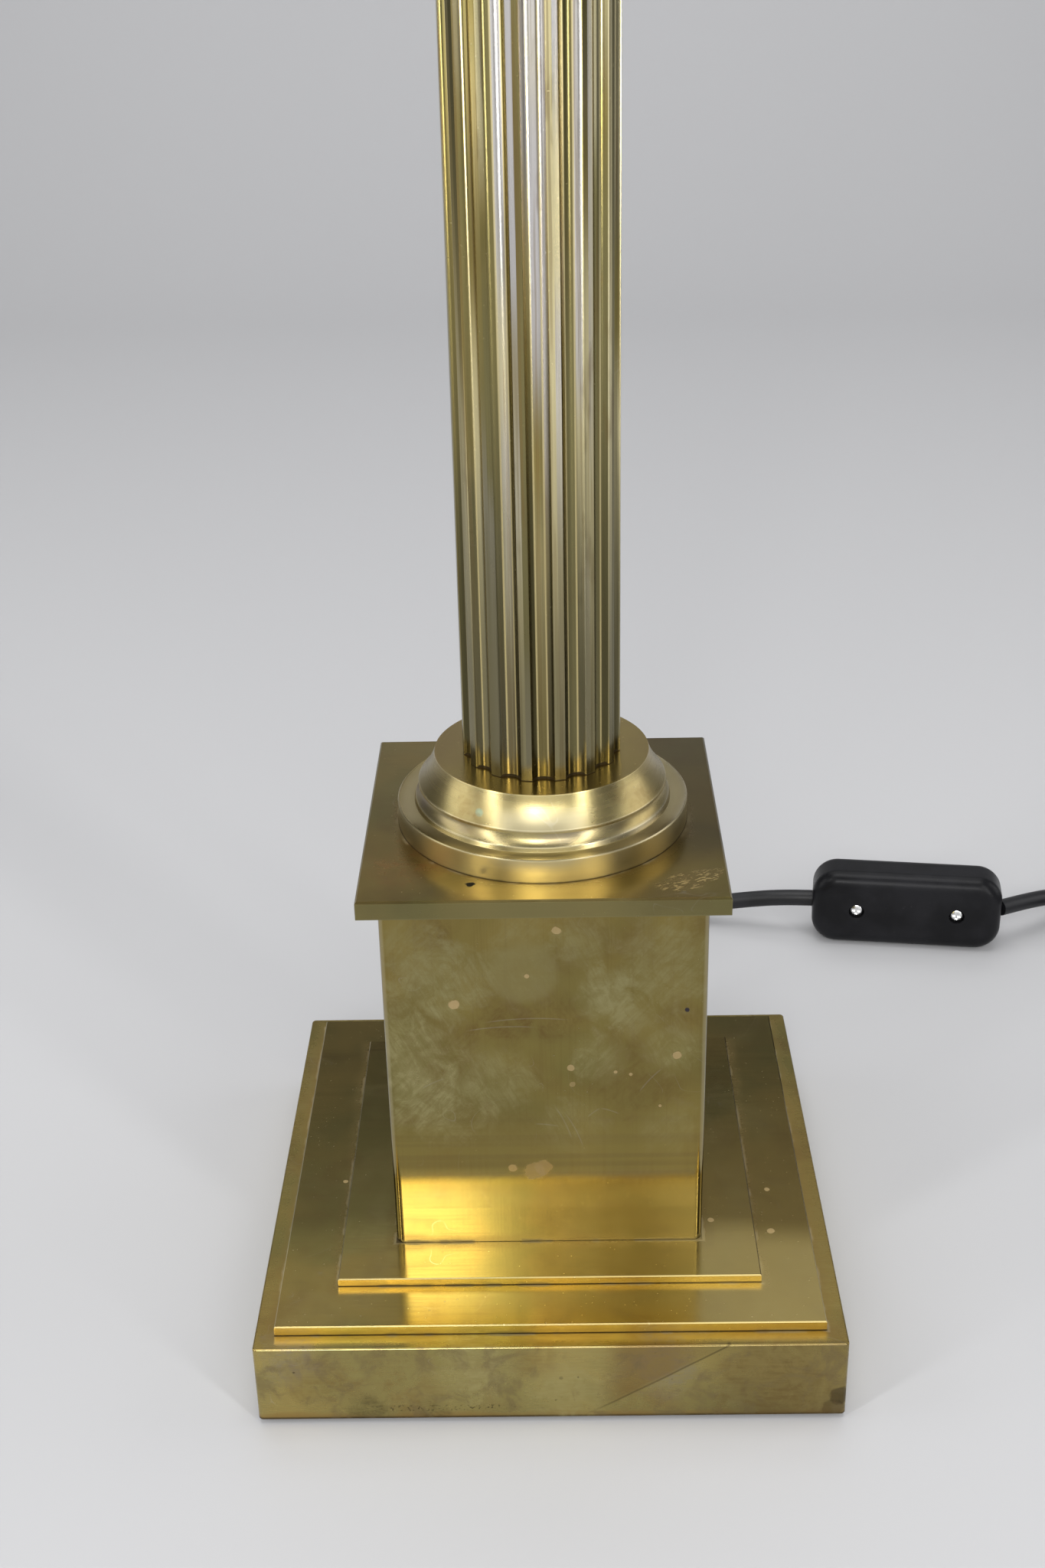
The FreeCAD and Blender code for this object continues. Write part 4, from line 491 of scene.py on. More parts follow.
def scratch(f, first_x, first_z, last_x, last_z):
    """A fine pale scratch between two places on the front, in millimetres, bowed a little."""
    run_x, run_z = last_x - first_x, last_z - first_z
    length = hypot(run_x, run_z)
    across_x, across_z = -run_z / length, run_x / length
    off_x, off_z = f.x - first_x * MM, f.z - first_z * MM
    along = (off_x * run_x + off_z * run_z) / (length * length * MM)
    off = off_x * across_x + off_z * across_z - (along - along * along) * (length * SCRATCH_BOW * MM)
    inside = f.between(abs(along - 0.5), 0.5, 0.3) * f.ramp(f.y, 0, -1)
    line = f.ramp(abs(off), SCRATCH_WIDTH, SCRATCH_WIDTH * 0.3) * inside
    f.tint(line * (0.4 + f.strokes[0] * 0.9) * 0.28, DUST)


def pedestal_finish():
    """The pedestal: brown and olive clouds, wiped hazes, fine upright lines, scratches and small pale spots, with
    a painted highlight down its corners and a painted reflection over its smoother foot.
    """
    f = brass("pedestal_brass", 0.13, upright, 15, 0.5, 0.2)
    low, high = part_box("pedestal_box")
    front, rise = low.y / MM, f.z - low.z
    for colour, patches in ((UMBER, PEDESTAL_BROWNS), (CHALK, PEDESTAL_HAZES)):
        for count, (across, level, radius, amount) in enumerate(patches):
            haze_patch(f, (across, front, level), radius, colour, amount, strokes=count % 2)
    oval = f.spot((-5.5, front, 120.5), 10, 0.12, 90)
    f.tint(oval * 0.4, HAZE)
    f.tint(f.ramp(rise, 62, 96) * 0.16, UMBER_DARK)
    # Level bands of warm brass over the foot
    bands = f.noise(1, 2, 0.5, place=f.stretched(4, 4, 420))
    low_band = f.ramp(rise, 50, 28)
    f.tint(low_band * 0.55, f.blend(f.between(bands, 0.4, 0.6), BRASS_DEEP, BRASS))
    for ends in PEDESTAL_LINES:
        scratch(f, *ends)
    for across, level, radius, amount in PEDESTAL_SPOTS:
        lime_spot(f, (across, front, level), radius, amount)
    stain(f, (37.7, front, 108.4), 0.8, INK, 0.9, 0.4, 420)
    # Painted highlight down the rounded upright corners
    corner_painted_highlight = f.ramp(f.larger(high.x - abs(f.x), high.y - abs(f.y)), 1.5, 0.9)
    f.tint(corner_painted_highlight * 0.3, EDGE_WEAR_AND_HIGHLIGHT)
    f.tint(f.ramp(rise + f.sway(f.noise(200, 3), 0.2), 0.35, 0.15) * 0.5, GRIME_AND_SHADOW)
    # The foot is smoother and carries a painted reflection of the step plates, most of all on its left, where the
    # darkening of the whole pedestal is eased
    polished = f.ramp(rise, 27, 15)
    f.tint(polished * 0.8, PAINTED_REFLECTION_BRASS)
    shine = polished * f.ramp(f.x, -6, -24)
    f.tint(0.32 - shine * 0.22, BLACK)
    f.rough -= polished * 0.07
    return finished_brass(f, LINE_RELIEF, 0.07 * MM)


# The cap's corroded patch: its middle, its direction, and the squares of its half length and half width
CORRODED = (38.5, -38.5)
CORRODED_ALONG = (0.86, 0.5)
CORRODED_LONG, CORRODED_WIDE = 72, 15


def cap_finish():
    """The cap plate: brown tarnish, a corroded patch at the front right corner and one black speck, with a painted
    reflection at the front's middle and painted shade beside and behind the column.
    """
    f = plate_finish("cap_brass", "pedestal_cap", None, "column_base", 0.22, 0.55, 0.25, 0)
    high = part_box("pedestal_cap")[1]
    top = high.z / MM
    # Painted reflection brightening the front's middle
    near = f.ramp(f.y, -36, -43) * f.ramp(abs(f.x), 30, 12)
    f.tint(near * 0.45, PAINTED_REFLECTION_GOLD)
    # Painted shade beside and behind the column, darkest on the right
    painted_shade = f.ramp(f.y + f.sway(f.cloud, 20), -36, -14)
    f.tint(painted_shade * (0.18 + f.ramp(f.x, 0, 30) * 0.42), SOOT_AND_SHADE)
    # The corroded patch, with raised flecks along it
    off_x, off_y = f.x - CORRODED[0] * MM, f.y - CORRODED[1] * MM
    cosine, sine = CORRODED_ALONG
    along, across = off_x * cosine + off_y * sine, off_y * cosine - off_x * sine
    away = (along * along / CORRODED_LONG + across * across / CORRODED_WIDE) ** 0.5 / MM
    patch = f.between(away + (f.noise(210, 3) - 0.5) * 1.6, 1.15, 0.75)
    grain = f.stretched(520, 2300, 520, (0, 0, -0.52))
    flecks = f.between(f.noise(1, 3, 0.6, 0.2, grain), 0.53, 0.6)
    flecks = patch * (flecks * f.between(f.noise(420, 2), 0.38, 0.52))
    f.tint(patch * 0.3, RUST_DARK)
    f.tint(flecks * 0.55, RUST_FLECK)
    f.rough = f.rough + patch * 0.04 + flecks * 0.3
    f.height += flecks * 3
    haze_patch(f, (-30, -24, top), 12, RUST, 0.7)
    haze_patch(f, (-38, -32, top), 9, RUST, 0.5)
    haze_patch(f, (44, -16, top), 10, UMBER_SMOKED, 0.4)
    stain(f, (-18.9, -39.5, top), 1.3, PITCH, 1, 0.6, 700, 0.3)
    side = f.between(f.z, high.z - 0.2 * MM, high.z - 0.7 * MM)
    f.tint(side * 0.75, OLIVE_DARK)
    return finished_brass(f, swell=PLATE_SWELL)


def turned_finish(name, node, painted_highlight_rims=(), rough=0.22, cream=0):
    """Brass of a turned piece: rings of tool marks, with painted highlight lines on its rims, given as (radius,
    rise).
    """
    f = brass(name, rough, turned, 22, 0.3, 0.3)
    f.tint(cream * (0.7 + (f.cloud - 0.5) * 1.2), STRAW)
    out, low = f.reach(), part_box(node)[0]
    for radius, rise in painted_highlight_rims:
        off_radius, off_level = out - radius * MM, f.z - low.z - rise * MM
        away = (off_radius * off_radius + off_level * off_level) ** 0.5
        f.tint(f.ramp(away + f.sway(f.noise(150, 2), 0.2), 0.4, 0.12) * 0.6, EDGE_WEAR_AND_HIGHLIGHT)
    return f


# Rims of the turned base that carry painted highlight lines: radius and rise, in millimetres
COLUMN_BASE_PAINTED_HIGHLIGHTS = ((39.7, 6.5), (34.7, 7.8), (33.8, 12.1), (29.15, 20.3))


def column_base_finish():
    """The turned base: pale satin flare with painted shade over its front middle and towards its sides, painted
    highlights on its rims, a painted reflection on the plinth ring's wall, violet tarnish in the hollow, a green
    spot and a dusty foot.
    """
    f = turned_finish("column_base_brass", "column_base", COLUMN_BASE_PAINTED_HIGHLIGHTS, 0.26, 0.42)
    rise = f.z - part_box("column_base")[0].z
    # Violet in the hollow under the flare, darkest on its left
    hollow = f.ramp(abs(rise - 9.6 * MM), 2.2, 0.8) * f.between(f.noise(30, 3), 0.44, 0.62)
    f.tint(hollow * 0.5, VIOLET)
    left = f.ramp(f.x, -18, -30)
    f.tint(hollow * left * 0.6, VIOLET_DARK)
    # The flat top, a painted reflection on the plinth ring's wall, and painted shade on the flare's satin middle
    flat = f.ramp(rise, 20.1, 20.25)
    f.tint(flat * 0.85, f.blend(f.between(f.cloud, 0.4, 0.6), BRASS_WARM, BRASS))
    ring_wall_painted_reflection = f.ramp(rise, 6.9, 6.3)
    f.tint(ring_wall_painted_reflection * 0.5, STRAW)
    satin_and_painted_shade = f.ramp(rise, 18, 14) * f.ramp(rise, 11.6, 12.4)
    satin_and_painted_shade *= f.ramp(abs(f.x), 15, 8)
    f.rough = f.rough + ring_wall_painted_reflection * 0.08 - flat * 0.02 + satin_and_painted_shade * 0.1
    # Painted shade over the flare's front middle
    f.tint(satin_and_painted_shade * 0.45, SATIN_PAINTED_SHADE)
    # Painted shade towards the left and right sides
    f.tint(f.ramp(abs(f.x), 16, 30) * 0.22, UMBER)
    stain(f, (-16, -26.5, 159.4), 1.6, VERDIGRIS, 0.8, 0.25)
    stain(f, (-13.9, -27.7, 160.1), 0.6, SOOT_AND_SHADE, 0.7, 0.6, 500)
    haze_patch(f, (-18, -25, 158.5), 6, UMBER, 0.6)
    haze_patch(f, (24, -20, 157.5), 8, UMBER, 0.5)
    # Dust on the ring's ledge towards the right, and grime in the joint with the cap
    dusty = f.ramp(rise - 7.6 * MM, 0.9, 0.1) * f.ramp(rise, 6.4, 6.9)
    f.tint(dusty * f.ramp(f.x, 5, 28) * 0.5, DUST)
    f.tint(f.ramp(rise + f.sway(f.noise(240, 2), 0.6), 0.5, 0.1) * 0.7, GRIME_AND_SHADOW)
    return finished_brass(f, 0.003 * MM, 0.02 * MM)


FLUTES = 15
FLUTE_TURN = radians(1.5)
LAND_RADIUS = 21.35 * MM
LAND_HALF = radians(3.76)
WALL_SHARE = 0.17  # a flute's side wall, as a share of the distance from flute to flute


def shaft_finish():
    """The fluted shaft: each facet has a tone of its own from olive through gold, with painted grey reflections in
    the front's middle, painted highlights on the facets left of the front and on the lands' edges, painted shade
    over the dull, tarnished foot and a painted shadow in its joint.
    """
    f = brass("shaft_brass", 0.2, upright, 18, 0.1, 0.1)
    angle = f.angle() - FLUTE_TURN
    turn = angle * (FLUTES / (2 * pi))
    flute = turn.maths("FLOOR", turn + 0.5)
    across = turn - flute
    # Facets of a flute: half a land, a side wall and the hollow's bottom, on each side
    land = LAND_HALF * FLUTES / (2 * pi)
    side = across.maths("SIGN", across)
    wall = across.maths("GREATER_THAN", abs(across), land)
    hollow = across.maths("GREATER_THAN", abs(across), land + WALL_SHARE)
    facet = flute * 5.3 + side * (wall + hollow) * 1.7
    tone, second = (f.noise(1, 2, 0.5, place=f.node("ShaderNodeCombineXYZ", {}, {0: x, 1: y, 2: z}))
                    for x, y, z in ((facet, facet * 0.37, f.z * 2.5), (facet * 0.71, 9, f.z * 4)))
    # Painted highlight: the facets on the front's left lean brighter
    left = f.between(angle, radians(-8), radians(-22))
    left *= f.between(angle, radians(-80), radians(-62))
    tone += left * 0.05
    streak = f.noise(1, 3, 0.6, place=f.stretched(700, 700, 7))
    patches = f.noise(1, 3, 0.6, place=f.stretched(150, 150, 30))
    f.tint(f.between(tone, 0.52, 0.42), FACET_DARK)
    f.tint(f.between(tone, 0.48, 0.54), FACET_BRIGHT)
    # Painted reflection: grey facets in the front's middle, above the dull foot
    rise = f.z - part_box("column_shaft")[0].z
    # Painted shade darkening the lower shaft over its tarnish
    tarnished_foot_and_shade = f.ramp(rise + f.sway(streak, 120), 150, 20)
    middle = 0.15 + f.between(abs(angle), radians(48), radians(28)) * 0.85
    middle *= (1 - tarnished_foot_and_shade * 0.8)
    f.tint(f.between(second, 0.5, 0.56) * middle * 0.9, FACET_PAINTED_REFLECTION)
    f.tint(f.between(streak, 0.54, 0.62) * 0.45, UMBER)
    f.tint(f.between(patches, 0.58, 0.7) * 0.4, UMBER)
    # Painted highlights on the lands' edges, then painted shade over the dull, tarnished foot, darker on the
    # flutes' walls, with paler painted highlights on the edges there
    line = f.between(abs(abs(across) - land), 0.034, 0.016)
    f.tint(line * 0.75, LAND_PAINTED_HIGHLIGHT)
    f.tint(tarnished_foot_and_shade * (0.62 + f.between(tone, 0.45, 0.55) * 0.2), FOOT_TARNISH_AND_SHADE)
    f.tint(tarnished_foot_and_shade * (wall - hollow) * 0.6, GROOVE_PAINTED_SHADE)
    f.tint(line * tarnished_foot_and_shade * 0.6, LAND_PAINTED_HIGHLIGHT_LOW)
    # Painted shadow in the joint at the foot, reaching higher in the flutes
    in_flute = f.between(f.reach(), LAND_RADIUS - 0.2 * MM, LAND_RADIUS - 0.8 * MM)
    foot = f.ramp(rise - in_flute * 0.5 * MM, 0.3, 0.15)
    f.tint(foot * 0.95, GRIME_AND_SHADOW)
    f.rough = f.rough + foot * 0.3 + f.between(second, 0.54, 0.62) * 0.08 + tarnished_foot_and_shade * 0.05
    return finished_brass(f, 0.003 * MM, 0)


def two_tone(f, mix, dark, light, rough, height, relief, **others):
    """Send a finish between two colours, with bumps of a height, to its shader."""
    f.set(Base_Color=f.blend(mix, dark, light), Roughness=rough, Normal=f.bump(height, relief), **others)
    return f.material


def plain_finish(name, colour, rough, metallic=0, speckle=0.15):
    """A plain finish with small changes of tone, gloss and surface."""
    f = Finish(name)
    fine, broad = f.noise(600, 3, 0.6), f.noise(45, 3)
    dark = tuple(part * (1 - speckle) for part in colour)
    light = tuple(min(1, part * (1 + speckle) + 0.002) for part in colour)
    rough = rough + (broad - 0.5) * 0.14 + (fine - 0.5) * 0.1
    return two_tone(f, fine * 0.6 + broad * 0.4, dark, light, rough, fine, 0.02 * MM, Metallic=metallic)


def moulded_finish(name, rough=0.36, shine=0.35):
    """Black moulded plastic: fine spark texture and a little dust."""
    f = Finish(name)
    spark, dust, broad = f.noise(2400, 2, 0.6), f.noise(1500, 2, 0.5), f.noise(60, 3)
    black = f.blend(f.between(broad, 0.4, 0.7), (0.008, 0.008, 0.009), (0.014, 0.014, 0.016))
    return two_tone(f, f.between(dust, 0.72, 0.78) * 0.25, black, (0.10, 0.10, 0.10), rough + (broad - 0.5) * 0.16,
                    spark, 0.02 * MM, Specular_IOR_Level=shine)


def felt_finish():
    """Dark green felt with a fibrous nap."""
    f = Finish("felt")
    nap, tuft = f.noise(1800, 4, 0.7), f.noise(240, 3, 0.6, 1)
    return two_tone(f, nap * 0.6 + tuft * 0.4, (0.012, 0.035, 0.016), (0.05, 0.10, 0.055), 0.95, nap + tuft,
                    0.25 * MM, Sheen_Weight=0.3)


def ceramic_finish():
    """White glazed ceramic with a faint grey speckle."""
    f = Finish("ceramic")
    speck = f.between(f.noise(1200, 2), 0.66, 0.74)
    return two_tone(f, speck * 0.4 + f.noise(50, 3) * 0.2, (0.78, 0.77, 0.73), (0.55, 0.52, 0.46),
                    0.2 + speck * 0.2, f.noise(80), 0.1 * MM, Coat_Weight=0.4)


def cast_finish():
    """Black painted cast iron with a sand-cast skin."""
    f = Finish("cast_iron")
    sand = f.noise(700, 4, 0.65)
    return two_tone(f, f.between(sand, 0.4, 0.7), (0.012, 0.012, 0.012), (0.05, 0.042, 0.036), 0.6 + sand * 0.2,
                    sand, 0.3 * MM, Metallic=0.3)


def board_finish():
    """Brown hardboard with pressed fibres."""
    f = Finish("hardboard")
    fibre = f.noise(1, 4, 0.7, place=f.stretched(900, 300, 300))
    return two_tone(f, fibre, (0.10, 0.055, 0.025), (0.24, 0.14, 0.07), 0.8, fibre, 0.1 * MM)


# Making meshes
SMOOTH_UP_TO = 35


def piece_from(mesh, material, smooth=SMOOTH_UP_TO):
    """An object named as its finished mesh that rides on the lamp, sharp at edges over an angle in degrees."""
    piece = placed(mesh.name, mesh)
    mesh.materials.clear()
    mesh.materials.append(material)
    mesh.shade_smooth()
    mesh.set_sharp_from_angle(angle=radians(smooth))
    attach(piece, "lamp")
    return piece


def ring_mesh(name, outline, steps=128):
    """A closed ring; its outline of (radius, height) points, in millimetres, may change with the angle."""
    mesh, build = bpy.data.meshes.new(name), bmesh.new()
    rings = []
    for step in range(steps):
        angle = 2 * pi * step / steps
        rings.append([build.verts.new((radius * MM * cos(angle), radius * MM * sin(angle), height * MM))
                      for radius, height in outline(angle)])
    for here, there in zip(rings, rings[1:] + rings[:1]):
        for index in range(len(here)):
            after = (index + 1) % len(here)
            build.faces.new((here[index], there[index], there[after], here[after]))
    bmesh.ops.remove_doubles(build, verts=build.verts, dist=1e-7)
    bmesh.ops.dissolve_degenerate(build, edges=build.edges, dist=1e-8)
    bmesh.ops.recalc_face_normals(build, faces=build.faces)
    build.to_mesh(mesh)
    build.free()
    return mesh


# The free cord in millimetres, with the route's points from the solid model
CORD_WIDTH = 6.2
SWITCH_MIDDLE = Vector((137.9, 172.9, 15))
SWITCH_TURN = radians(-7.8)
SWITCH_HALF = 35.5
CORD_ENTRY = 6
CORD_EXIT = (0, 106, 10.5)
CORD_TO_SWITCH = [
    (0, 127, 10.5), (3.2, 148.5, 6.2), (15.5, 168.5, 3.5), (35, 182, 3.5),
    (56.5, 187.6, 6.2), (75, 184.3, 10.7), (93.8, 178.9, 15),
]
CORD_TO_COIL = [
    (182.5, 173.4, 14.3), (194, 180.4, 12.4), (204.5, 188.6, 8.2), (214.5, 197.8, 4.2), (224, 206.4, 3.2),
]
CORD_TAIL = [(294.8, 172, 9.3), (294.9, 161.5, 8.8), (295.1, 150.5, 6.85), (295.1, 140, 6.85)]
COIL_MIDDLE = (251, 172)
COIL_OUTSIDE = 43.8
COIL_INSIDE = 24.2
COIL_START = radians(129)
COIL_TURNS = 6.358
COIL_POINTS = 16
LAYERS = (3.15, 9.35)
CLIMB_START, CLIMB_LENGTH = 0.47, 0.06  # where the coil climbs to its second layer, as shares of it


def switch_point(along):
    """A point on the switch's cord axis."""
    return SWITCH_MIDDLE + Vector((cos(SWITCH_TURN), sin(SWITCH_TURN), 0)) * along


def coil_points():
    """The put-away turns: spiralling in on the floor, then out on top of themselves."""
    steps = round(COIL_TURNS * COIL_POINTS)
    points = []
    for step in range(1, steps):
        share = step / steps
        angle = COIL_START - 2 * pi * COIL_TURNS * share
        inward = abs(1 - 2 * share)
        radius = COIL_INSIDE + (COIL_OUTSIDE - COIL_INSIDE) * inward
        climb = min(max((share - CLIMB_START) / CLIMB_LENGTH, 0), 1)
        level = LAYERS[0] + (LAYERS[1] - LAYERS[0]) * climb * climb * (3 - 2 * climb)
        points.append((COIL_MIDDLE[0] + radius * cos(angle), COIL_MIDDLE[1] + radius * sin(angle), level))
    return points


def cord_piece(name, points, material):
    """A round cord along a smooth curve through the route's points."""
    curve = bpy.data.curves.new(name, "CURVE")
    curve.dimensions = "3D"
    curve.bevel_depth = CORD_WIDTH / 2 * MM
    curve.bevel_resolution = 6
    curve.resolution_u = 12
    curve.use_fill_caps = True
    spline = curve.splines.new("NURBS")
    spline.points.add(len(points) - 1)
    for point, place in zip(spline.points, points):
        point.co = (*(part * MM for part in place), 1)
    spline.order_u = 3
    spline.use_endpoint_u = True
    curve.materials.append(material)
    piece = placed(name, curve)
    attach(piece, "lamp")
    return piece


def cords(material):
    """The cord to the switch, and on through the put-away coil to the plug."""
    entry = tuple(switch_point(-(SWITCH_HALF - CORD_ENTRY)))
    leaving = tuple(switch_point(SWITCH_HALF))
    first = cord_piece("cord_first_run", [CORD_EXIT] + CORD_TO_SWITCH + [entry], material)
    rest = cord_piece("cord_and_coil", [leaving] + CORD_TO_COIL + coil_points() + CORD_TAIL, material)
    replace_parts(first, "cord_to_switch")
    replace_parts(rest, "cord_to_coil", "cord_coil", "cord_tail")
    tuple(part * MM for part in leaving)


# Stage: a pale sweep and its lights, in metres
SWEEP_HALF_WIDTH = 3
SWEEP_FRONT = -3
SWEEP_BACK = 2.1
SWEEP_BEND = 0.9
SWEEP_STEPS = 24
SWEEP_HEIGHT = 1.25
SWEEP_COLOUR = (0.52, 0.52, 0.53)
SWEEP_ROUGH = 0.6


def floor_and_backdrop():
    """A pale sweep: flat floor, a wide bend and an upright back."""
    section = [(SWEEP_FRONT, 0), (SWEEP_BACK - SWEEP_BEND, 0)]
    for step in range(1, SWEEP_STEPS + 1):
        angle = pi / 2 * step / SWEEP_STEPS
        section.append((SWEEP_BACK - SWEEP_BEND + SWEEP_BEND * sin(angle), SWEEP_BEND * (1 - cos(angle))))
    section.append((SWEEP_BACK, SWEEP_HEIGHT))
    corners = [(side * SWEEP_HALF_WIDTH, y, z) for y, z in section for side in (-1, 1)]
    faces = [(2 * index, 2 * index + 1, 2 * index + 3, 2 * index + 2) for index in range(len(section) - 1)]
    mesh = bpy.data.meshes.new("sweep")
    mesh.from_pydata(corners, [], faces)
    mesh.shade_smooth()
    material = bpy.data.materials.new("sweep")
    material.use_nodes = True
    shader = material.node_tree.nodes["Principled BSDF"]
    shader.inputs["Base Color"].default_value = (*SWEEP_COLOUR, 1.0)
    shader.inputs["Roughness"].default_value = SWEEP_ROUGH
    mesh.materials.append(material)
    placed("sweep", mesh)


# Each light's name, place, aim, width, height and power
SOFT_LIGHTS = (
    ("overhead", (0, 0.1, 2), (0, 0, 0), 1.3, 1, 15.5),
    ("back_wash", (0, 1.4, 2.3), (0, 1.6, 0), 2.4, 1, 11),
    ("panel", (0.1, -1.75, 1.4), (0, 0, 0.1), 1.7, 1, 9),
    ("window", (-0.211, -1.6, 1.16), (0, 0, 0.05), 0.26, 0.60, 6),
    ("low_panel", (-0.05, -1.6, 0.93), (0, 0, 0.15), 1.5, 0.3, 4.5),
    ("high_back", (0, 1.5, 1.48), (0, 0, 0), 2, 0.5, 1.2),
    ("front_fill", (0, -2.4, 0.45), (0, 0, 0.3), 2.4, 0.9, 5.5),
)
# Upright lights round the column: name, degrees from the front, distance, level, width, height and power
UPRIGHT_LIGHTS = (
    ("strip_left", -50, 1.3, 1.15, 0.12, 2.1, 10),
    ("strip_right", 40, 1.3, 1.15, 0.12, 2.1, 10),
    ("side_left", -86, 1.5, 0.8, 0.8, 1.4, 6.2),
    ("side_right", 99, 1.5, 0.8, 0.8, 1.4, 5.6),
)
ROOM_COLOUR = (0.78, 0.80, 0.83)
ROOM_STRENGTH = 0.21


def soft_light(name, place, aim, width, height, power):
    """An area light at a place, aimed at a point."""
    lamp = bpy.data.lights.new(name, "AREA")
    lamp.shape = "RECTANGLE"
    lamp.size, lamp.size_y = width, height
    lamp.energy = power
    light = placed(name, lamp)
    light.location = place
    light.rotation_euler = (Vector(aim) - Vector(place)).to_track_quat("-Z", "Y").to_euler()


def lights():
    """Soft lights overhead and beside the camera, upright lights for the flutes, and a dim room."""
    for light in SOFT_LIGHTS:
        soft_light(*light)
    for name, degrees, distance, level, width, height, power in UPRIGHT_LIGHTS:
        angle = radians(degrees)
        place = (distance * sin(angle), -distance * cos(angle), level)
        soft_light(name, place, (0, 0, level), width, height, power)
    world = bpy.data.worlds.new("room")
    world.use_nodes = True
    shade = world.node_tree.nodes["Background"]
    shade.inputs["Color"].default_value = (*ROOM_COLOUR, 1.0)
    shade.inputs["Strength"].default_value = ROOM_STRENGTH
    bpy.context.scene.world = world


# Screws, in millimetres
SCREW_HEAD, SCREW_RISE = 2.7, 1.7
SCREW_SHANK, SCREW_LENGTH = 1.5, 6.7
RECESS_LONG, RECESS_WIDE, RECESS_DEEP = 1.15, 0.32, 0.9  # cross recess, as shares of the head's radius and rise


def screw_mesh():
    """A domed screw with a cross recess, its head's underside at the origin and its shank towards +Z."""
    dome = [(SCREW_HEAD * cos(angle), -SCREW_RISE * (0.35 + 0.65 * sin(angle)))
            for angle in (pi / 2 * step / 8 for step in range(8))]
    profile = [(0, SCREW_LENGTH), (SCREW_SHANK, SCREW_LENGTH), (SCREW_SHANK, 0), (SCREW_HEAD, 0)]
    profile += dome + [(0, -SCREW_RISE)]
    blank = placed("screw", ring_mesh("screw", lambda angle: profile, 32))
    tools = []
    for turn in (0, pi / 2):
        recess, build = bpy.data.meshes.new("recess"), bmesh.new()
        size = (SCREW_HEAD * RECESS_LONG * MM, RECESS_WIDE * SCREW_HEAD * MM, RECESS_DEEP * SCREW_RISE * MM, 1)
        raised = Matrix.Translation((0, 0, -SCREW_RISE * MM)) @ Matrix.Diagonal(size)
        bmesh.ops.create_cube(build, size=1, matrix=Matrix.Rotation(turn, 4, "Z") @ raised)
        build.to_mesh(recess)
        build.free()
        tools.append(placed("recess", recess))
        cut = blank.modifiers.new("recess", "BOOLEAN")
        cut.object = tools[-1]
        cut.operation = "DIFFERENCE"
        cut.solver = "EXACT"
    done = as_made(blank)
    for thing in tools + [blank]:
        bpy.data.objects.remove(thing)
    return done


def repeated(name, source_mesh, places, turns, material):
    """One mesh set at every place with its own turn, made by a node tree and kept as a plain mesh."""
    source = placed(f"{name}_source", source_mesh)
    points = bpy.data.meshes.new(f"{name}_points")
    points.from_pydata([tuple(place) for place in places], [], [])
    turn = points.attributes.new("turn", "FLOAT_VECTOR", "POINT")
    for item, value in zip(turn.data, turns):
        item.vector = value
    holder = placed(name, points)
    tree = bpy.data.node_groups.new(f"{name}_tree", "GeometryNodeTree")
    _, chosen, grown, _ = (
        tree.interface.new_socket(label, in_out=way, socket_type=f"NodeSocket{kind}") for label, way, kind in (
            ("Geometry", "INPUT", "Geometry"), ("Piece", "INPUT", "Object"),
            ("Size", "INPUT", "Float"), ("Geometry", "OUTPUT", "Geometry")))
    nodes = tree.nodes
    start, end = nodes.new("NodeGroupInput"), nodes.new("NodeGroupOutput")
    info, spread = nodes.new("GeometryNodeObjectInfo"), nodes.new("GeometryNodeInstanceOnPoints")
    read = nodes.new("GeometryNodeInputNamedAttribute")
    read.data_type = "FLOAT_VECTOR"
    read.inputs["Name"].default_value = "turn"
    real, paint = nodes.new("GeometryNodeRealizeInstances"), nodes.new("GeometryNodeSetMaterial")
    paint.inputs["Material"].default_value = material
    for giver, given, taker, taken in (
            (start, "Piece", info, "Object"), (start, "Geometry", spread, "Points"),
            (info, "Geometry", spread, "Instance"), (read, "Attribute", spread, "Rotation"),
            (start, "Size", spread, "Scale"), (spread, "Instances", real, "Geometry"),
            (real, "Geometry", paint, "Geometry"), (paint, "Geometry", end, "Geometry")):
        tree.links.new(giver.outputs[given], taker.inputs[taken])
    modifier = holder.modifiers.new("repeat", "NODES")
    modifier.node_group = tree
    modifier[chosen.identifier] = source
    modifier[grown.identifier] = 1.0
    mesh = as_made(holder)
    for thing in (holder, source):
        bpy.data.objects.remove(thing)
    mesh.name = name
    return piece_from(mesh, material)


SWITCH_SCREW_SEAT = -6.8  # underside of the heads, from the switch's cord axis
SWITCH_SCREWS_APART = 37.5
SADDLE_SCREW_OUT = 8.6
TERMINAL_SCREW_OUT = 5.6
PLAIN_HEAD = 1.8  # heads of the plain screws that these stand for


